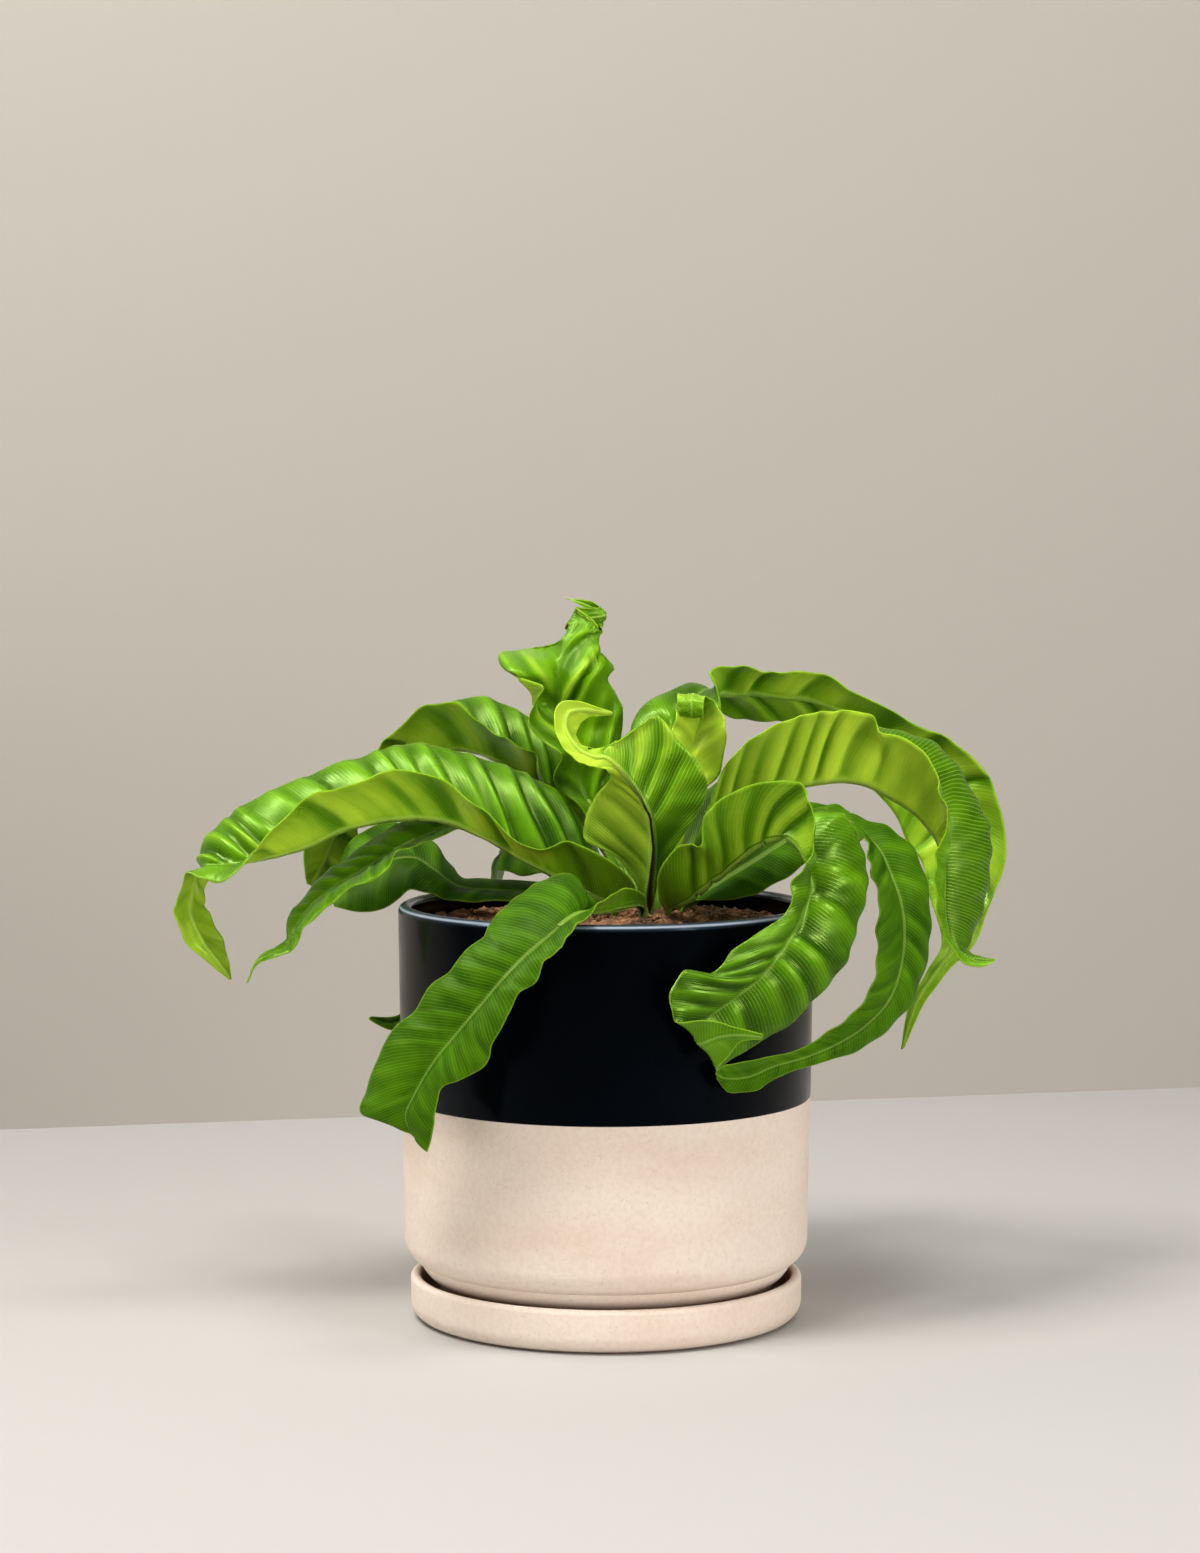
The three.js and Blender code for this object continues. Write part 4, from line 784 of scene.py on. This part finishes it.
def splineThrough(points, at):
    start = np.minimum(np.floor(at).astype(int), len(points) - 2)
    t = (at - start)[:, None]
    a, b, c, d = (points[np.clip(start + k, 0, len(points) - 1)] for k in (-1, 0, 1, 2))
    return 0.5 * (2 * b + (c - a) * t + (2 * a - 5 * b + 4 * c - d) * t ** 2 + (3 * b - a - 3 * c + d) * t ** 3)


def unit(vectors):
    length = np.linalg.norm(vectors, axis=-1, keepdims=True)
    return vectors / np.maximum(length, 1e-9)


def perHalf(sides, pair):
    return np.where(sides < 0, *pair)[None, :]


def frondRows(frond):
    rows = np.array([[fromEye(point) for point in row] for row in frond["rows"]])
    across = rows[0][2] - rows[0][0]
    across[2] = 0
    across = unit(across)
    lift = np.cross(across, (0, 0, 1)) * blade["stalkLift"] * mm
    half = across * blade["stalkRadius"] * mm
    feet = []
    for height in blade["stalkHeights"]:
        middle = np.array((*frond["foot"], height)) * mm + lift
        feet.append([middle - half, middle, middle + half])
    return np.concatenate([np.array(feet), rows])


def frondSurface(frond):  # its bands lean toward the tip as the veins do
    lines = frondRows(frond)
    reach = np.linalg.norm(np.diff(lines[:, 1], axis=0), axis=1).mean() / mm
    bandsPerRow = round(blade["bandsPerFold"] * reach / min(frond["folds"][1], frond["folds"][3]))
    bandsPerRow = int(np.clip(bandsPerRow, blade["fewestBands"], blade["mostBands"]))
    at = np.linspace(0, len(lines) - 1, (len(lines) - 1) * bandsPerRow + 1)
    ribLine = lines[:, 1]
    midrib = splineThrough(ribLine, at)
    arc = np.concatenate([[0], np.cumsum(np.linalg.norm(np.diff(midrib, axis=0), axis=1))]) / mm
    taper = np.clip(np.minimum(arc / blade["leanRise"], (arc[-1] - arc) / blade["leanEnd"]), 0, 1)
    bows = np.zeros((2, len(lines), 3))
    for row, pair in frond["bows"].items():
        for k, (across, up, near) in enumerate(pair):
            bows[k, row + len(blade["stalkHeights"])] = np.array((across, -near, up)) * mm
    sides = np.linspace(-1, 1, 2 * blade["columnsPerHalf"] + 1)
    sides = np.sign(sides) * np.abs(sides) ** blade["spread"]
    shape = (len(at), len(sides))
    points, ups, outs = (np.zeros((*shape, 3)) for _ in range(3))
    arcs, rows, halfWidth = (np.zeros(shape) for _ in range(3))
    for c, side in enumerate(sides):
        t, which = abs(side), 0 if side < 0 else 1
        margin = lines[:, 2 * which]
        shift = frond["lean"][which] * t * taper * np.linalg.norm(splineThrough(margin, at) - midrib, axis=1) / mm
        shifted = np.maximum.accumulate(np.minimum(arc + shift, arc[-1]))
        target = (1 - blade["evenShare"]) * shifted + blade["evenShare"] * arc
        row = np.interp(target, arc, at)
        mid = splineThrough(ribLine, row)
        ahead = splineThrough(ribLine, np.minimum(row + blade["nearby"], at[-1]))
        forward = unit(ahead - splineThrough(ribLine, np.maximum(row - blade["nearby"], 0)))
        out = splineThrough(margin, row) - mid
        width = np.linalg.norm(out, axis=1)
        ups[:, c] = unit(np.cross(out, forward)) * (-1 if side < 0 else 1)
        outs[:, c] = unit(out)
        points[:, c] = (mid + out * t + ups[:, c] * (blade["halfArch"] * 4 * t * (1 - t) * width)[:, None]
                        + splineThrough(bows[which], row) * (4 * t * (1 - t)))
        arcs[:, c], rows[:, c], halfWidth[:, c] = target, row, width / mm
    points, relief = waved(frond, points, arcs, sides, halfWidth, ups, outs, rows)
    return points, relief, arcs, sides, halfWidth


def edgeSwing(row, rowCount, halfWidth):  # nothing at a row of the table, most half-way to the next
    fromFoot, fromTip = np.maximum(0, row - 3) / 2, np.maximum(0, rowCount - 1 - row) / 1.5
    fade = np.minimum(np.minimum(fromFoot, fromTip), halfWidth / 12)
    return np.minimum(1, fade) * 0.5 * (1 - np.cos(2 * np.pi * row))


def waved(frond, points, s, sides, halfWidth, ups, outs, rows):
    t = np.abs(sides)[None, :]
    reach = s[-1, 0]
    swing = edgeSwing(rows, rows[-1, 0] + 1, halfWidth)
    points = points + ups * (perHalf(sides, (-1, 1)) * blade["edgeWave"] * swing * t ** 1.5)[..., None] * mm
    points = points - outs * (blade["edgeScallop"] * swing * t ** 4)[..., None] * mm
    normal = unit(np.cross(np.gradient(points, axis=1), np.gradient(points, axis=0)))
    fade = np.clip((s - blade["waveStart"]) / blade["waveRise"], 0, 1) * np.clip((reach - s) / blade["waveEnd"], 0, 1)
    fade = fade * np.clip(halfWidth / blade["fullWidth"], 0, 1) ** 1.5
    depth, length = perHalf(sides, frond["folds"][0::2]), perHalf(sides, frond["folds"][1::2])
    lean, half = perHalf(sides, frond["lean"]), perHalf(sides, (0.0, blade["halfTurn"]))
    phase = frond["phase"]
    # the folds run along the veins, and their spacing, depth and direction drift so that no two are alike
    place = s - lean * t * halfWidth
    length = length * np.sqrt(1 + lean ** 2)
    turn = 2 * np.pi * place / length + 1.6 * np.sin(place * 0.071 + phase) + 0.9 * np.sin(place * 0.19 + 2.3 * phase)
    turn = turn + half + phase + 0.35 * np.sin(2.6 * t + s * 0.05)
    strength = 0.78 + 0.35 * np.sin(place * 0.091 + 1.7 * half + 4 * phase) + 0.25 * np.sin(place * 0.31 + half + phase)
    fold = 0.85 * np.sin(turn + 0.5 * np.sin(turn)) + 0.22 * (1 - 2 * np.abs(np.sin(turn / 2 + 0.6)))
    fromRib = t * halfWidth
    fold = fold * np.clip(fromRib / 3, 0, 1) ** 0.8 * (1 - 0.6 * t ** 3)
    share = np.interp(s / reach, np.linspace(0, 1, len(frond["foldShare"])), frond["foldShare"])
    relief = strength * fold * fade * share
    points = points + normal * (depth * relief)[..., None] * mm
    cord = frond["cord"] * np.exp(-(fromRib / blade["cordWidth"]) ** 4) * (1 - 0.6 * s / reach)
    fromGroove = fromRib - blade["grooveSide"] * np.sign(frond["cord"])
    groove = blade["grooveDepth"] * np.exp(-(fromGroove / blade["grooveWidth"]) ** 2)
    ribRise = (cord - groove) * np.clip(halfWidth / 6, 0, 1)
    points = points + normal * ribRise[..., None] * mm
    return points, relief * np.clip(depth / blade["fullDepth"], 0, 1.1)


def buildFrond(name, frond, materials):
    points, relief, arcs, sides, halfWidth = frondSurface(frond)
    bands, columns = points.shape[:2]
    t = np.abs(sides)[None, :]
    along = arcs / arcs[-1, 0]
    ribDistance = t * halfWidth
    marginDistance = (1 - t) * halfWidth
    base = np.clip(1 - arcs / blade["stalkReach"], 0, 1)
    swell = blade["bladeThickness"] - blade["marginThickness"]
    thick = blade["marginThickness"] + swell * np.clip(marginDistance / 2, 0, 1)
    ribWidth = blade["ribWidth"] * (1.15 - 0.75 * along)
    thick = thick + blade["ribThickness"] * np.clip(1 - 1.05 * along, 0, 1) * np.exp(-(ribDistance / ribWidth) ** 2)
    thick = thick + base * blade["stalkThickness"] * np.clip(marginDistance / 1.2, 0, 1)
    bm = bmesh.new()
    bmesh.ops.create_grid(bm, x_segments=columns - 1, y_segments=bands - 1, size=0.5)
    bm.verts.ensure_lookup_table()
    weights = bm.verts.layers.deform.verify()
    weightList = (thick / blade["mostThickness"]).reshape(-1)
    for vert, place, weight in zip(bm.verts, points.reshape(-1, 3), weightList):
        vert.co = place
        vert[weights][0] = weight
    piece = finishPiece(bm, name, materials, [f"frond_{name}"])
    mesh = piece.data
    # tone along the frond, partly painted shade, plus painted light and shade on each half
    tone = np.interp(along, np.linspace(0, 1, len(frond["tone"])), frond["tone"]) + perHalf(sides, frond["halfTone"])
    dark, darkPlace, darkEnd = frond["ribDark"]
    values = {
        "along": along, "veinPlace": arcs - perHalf(sides, frond["lean"]) * ribDistance, "ribDistance": ribDistance,
        "marginDistance": marginDistance, "relief": relief, "tone": tone,
        "veinShow": np.repeat(perHalf(sides, frond["veins"]), bands, axis=0), "ribWidth": 1.5 * (1.1 - 0.8 * along),
        "ribLine": dark * np.clip((darkEnd - along) / 0.2, 0, 1),
        "ribLineAway": (ribDistance - darkPlace) / np.clip(0.02 + 1.4 * along, 0, 1)}  # thin toward the foot
    for key, value in values.items():
        mesh.attributes.new(key, "FLOAT", "POINT").data.foreach_set("value", value.reshape(-1).astype(np.float32))
    spread = np.stack([np.repeat((sides[None, :] + 1) / 2, bands, axis=0), arcs / blade["textureLength"]], axis=-1)
    corners = np.zeros(len(mesh.loops), dtype=np.int32)
    mesh.loops.foreach_get("vertex_index", corners)
    uvs = mesh.uv_layers.new(name="UVMap")
    uvs.data.foreach_set("uv", spread.reshape(-1, 2)[corners].reshape(-1).astype(np.float32))
    group = piece.vertex_groups.new(name="thickness")
    shell = piece.modifiers.new("thickness", "SOLIDIFY")
    shell.thickness = blade["mostThickness"] * mm
    shell.offset = -1
    shell.vertex_group = group.name
    shell.material_offset = 1
    shell.material_offset_rim = 2


# Fronds: materials
leafLook = {"deep": (0.022, 0.085, 0.001), "green": (0.135, 0.34, 0.001), "young": (0.7, 0.9, 0.06),
            "rib": (0.42, 0.58, 0.13), "darkRib": (0.014, 0.004, 0.002), "margin": (0.45, 0.66, 0.04),
            "under": (0.24, 0.42, 0.02), "vein": (0.56, 0.76, 0.13), "veinSpacing": 1.3, "marginWidth": 0.55,
            # on the next line, the colour after between is painted shade for the folds' hollows
            "between": (0.36, 0.5, 0.2), "paintedFoldShade": (0.21, 0.33, 0.1), "bump": (0.35, 0.0002),
            "tint": (0.68, 1, 0.16), "bleed": (0.9, 1.6, 0.25), "bleedScale": 0.0005}
skins = {  # between is the darkening between the veins; the hollows of the folds get painted shade
    # toneShift is partly each face's own green, the underside paler, and partly painted light and shade: undersides
    # made lighter for light shining through the leaf, upper faces darker
    "frondUpper": {"toneShift": -0.1, "pale": 0.0, "roughness": 0.3, "veinLight": 1.1, "ribLight": 0.45,
                   "reliefSign": 1.0, "between": 0.22, "paintedFoldShade": 0.65, "subsurface": 0.1, "specular": 0.26},
    "frondMatte": {"toneShift": -0.1, "pale": 0.0, "roughness": 0.45, "veinLight": 1.1, "ribLight": 0.55,
                   "reliefSign": 1.0, "between": 0.22, "paintedFoldShade": 0.65, "subsurface": 0.1, "specular": 0.07},
    "frondUnder": {"toneShift": 0.24, "pale": 0.03, "roughness": 0.32, "veinLight": 1.7, "ribLight": 0.75,
                   "reliefSign": -1.0, "between": 0.5, "paintedFoldShade": 0.55, "subsurface": 0.25, "specular": 0.28},
    "frondEdge": {"toneShift": 0.16, "pale": 0.0, "roughness": 0.45, "veinLight": 0.5, "ribLight": 0.0,
                  "reliefSign": 0.0, "between": 0.5, "paintedFoldShade": 0.55, "subsurface": 0.3, "specular": 0.15},
}


def frondPattern():
    group = bpy.data.node_groups.new("frondPattern", "ShaderNodeTree")
    face = group.interface
    for direction, names in (("INPUT", ("Spacing", "Margin Width")),
                             ("OUTPUT", ("Veins", "Rib", "Margin", "Mottle", "Streaks"))):
        for name in names:
            face.new_socket(name, in_out=direction, socket_type="NodeSocketFloat")
    given = addNode(group, "NodeGroupInput")
    result = addNode(group, "NodeGroupOutput")
    keys = ("veinPlace", "ribDistance", "marginDistance", "ribWidth")
    along, rib, margin, ribWidth = (attributeValue(group, key) for key in keys)
    place = objectPlace(group)
    wander = noiseNode(group, place, 45, 2, 0.5)
    along = mathNode(group, "ADD", along, mathNode(group, "MULTIPLY", wander, 2.0))
    lines = mathNode(group, "PINGPONG", mathNode(group, "DIVIDE", along, given.outputs["Spacing"]), 0.5)
    feed(group, result.inputs["Veins"], mapRange(group, lines, 0.0, 0.22, 1, 0))
    feed(group, result.inputs["Rib"], mapRange(group, mathNode(group, "DIVIDE", rib, ribWidth), 0.5, 1.0, 1, 0))
    margin = mathNode(group, "DIVIDE", margin, given.outputs["Margin Width"])
    feed(group, result.inputs["Margin"], mapRange(group, margin, 0.5, 1.2, 1, 0))
    feed(group, result.inputs["Mottle"], noiseNode(group, place, 70, 4, 0.6))
    spread = addNode(group, "ShaderNodeCombineXYZ")
    feed(group, spread.inputs[0], mathNode(group, "MULTIPLY", along, 0.22))
    feed(group, spread.inputs[1], mathNode(group, "MULTIPLY", rib, 0.03))
    feed(group, spread.inputs[2], wander)
    feed(group, result.inputs["Streaks"], noiseNode(group, spread.outputs[0], 1.0, 3, 0.6))
    return group


pattern = frondPattern()


def frondMaterial(name, skin):
    material, tree, shader = startMaterial(name)
    marks = addNode(tree, "ShaderNodeGroup", node_tree=pattern)
    marks.inputs["Spacing"].default_value = leafLook["veinSpacing"]
    marks.inputs["Margin Width"].default_value = leafLook["marginWidth"]
    marks = marks.outputs
    tone = attributeValue(tree, "tone")
    along = attributeValue(tree, "along")
    # painted shade: the blade darker toward its foot, in the shade of the crowded crown
    tone = mathNode(tree, "ADD", tone, mapRange(tree, along, 0.02, 0.3, -0.32, 0.0))
    # painted light and shade on the folds: ridges made lighter and hollows darker, turned over on the underside
    relief = mathNode(tree, "MULTIPLY", attributeValue(tree, "relief"), skin["reliefSign"])
    tone = mathNode(tree, "ADD", tone, mapRange(tree, relief, -0.8, 0.8, -0.2, 0.16))
    tone = mathNode(tree, "ADD", tone, noiseRange(tree, marks["Streaks"], -0.06, 0.06))
    tone = mathNode(tree, "ADD", tone, noiseRange(tree, marks["Mottle"], -0.04, 0.04))
    tone = mathNode(tree, "ADD", tone, skin["toneShift"], clamp=True)
    ramp = addNode(tree, "ShaderNodeValToRGB")
    ramp.color_ramp.elements[0].color = (*leafLook["deep"], 1)
    ramp.color_ramp.elements[1].color = (*leafLook["young"], 1)
    ramp.color_ramp.elements.new(0.5).color = (*leafLook["green"], 1)
    feed(tree, ramp.inputs[0], tone)
    colour = mixColour(tree, skin["pale"], ramp.outputs[0], leafLook["under"])
    shown = mathNode(tree, "MULTIPLY", attributeValue(tree, "veinShow"), skin["veinLight"])
    veins = mathNode(tree, "MULTIPLY", marks["Veins"], shown)
    colour = mixColour(tree, skin["between"], colour, leafLook["between"], "MULTIPLY")
    colour = mixColour(tree, veins, colour, mixColour(tree, 0.62, colour, leafLook["vein"]))
    onRib = mathNode(tree, "MULTIPLY", marks["Rib"], skin["ribLight"])
    colour = mixColour(tree, onRib, colour, mixColour(tree, 0.4, colour, leafLook["rib"]))
    # dark line along the midrib: the rib's own dark brown on the midrib, painted shade where it lies beside it in the
    # groove
    away = mathNode(tree, "ABSOLUTE", attributeValue(tree, "ribLineAway"))
    line = mathNode(tree, "MULTIPLY", attributeValue(tree, "ribLine"), mapRange(tree, away, 0.15, 0.6, 1, 0))
    colour = mixColour(tree, line, colour, leafLook["darkRib"])
    onMargin = mathNode(tree, "MULTIPLY", marks["Margin"], 0.55)
    colour = mixColour(tree, onMargin, colour, mixColour(tree, 0.45, colour, leafLook["margin"]))
    # painted shade in the folds' hollows
    paintedFoldShade = mapRange(tree, relief, -0.85, 0.45, skin["paintedFoldShade"], 0.0)
    colour = mixColour(tree, paintedFoldShade, colour, mixColour(tree, 1.0, colour, leafLook["paintedFoldShade"], "MULTIPLY"))
    feed(tree, shader.inputs["Base Color"], colour)
    roughness = noiseRange(tree, marks["Mottle"], skin["roughness"] - 0.05, skin["roughness"] + 0.08)
    feed(tree, shader.inputs["Roughness"], roughness)
    shader.inputs["Subsurface Weight"].default_value = skin["subsurface"]
    shader.inputs["Subsurface Radius"].default_value = leafLook["bleed"]
    shader.inputs["Subsurface Scale"].default_value = leafLook["bleedScale"]
    shader.inputs["Specular IOR Level"].default_value = skin["specular"]
    shader.inputs["Specular Tint"].default_value = (*leafLook["tint"], 1)
    veinRise = mathNode(tree, "MULTIPLY", marks["Veins"], 0.5)
    height = mathNode(tree, "ADD", veinRise, mathNode(tree, "MULTIPLY", marks["Mottle"], 0.6))
    feed(tree, shader.inputs["Normal"], bumpNode(tree, height, *leafLook["bump"]))
    return material


frondSkins = {name: frondMaterial(name, skin) for name, skin in skins.items()}
for name, values in fronds.items():
    frond = {**plainFrond, **values}
    upper = frondSkins["frondMatte" if frond["matte"] else "frondUpper"]
    buildFrond(name, frond, [upper, frondSkins["frondUnder"], frondSkins["frondEdge"]])
print("fronds are made:", len(fronds))
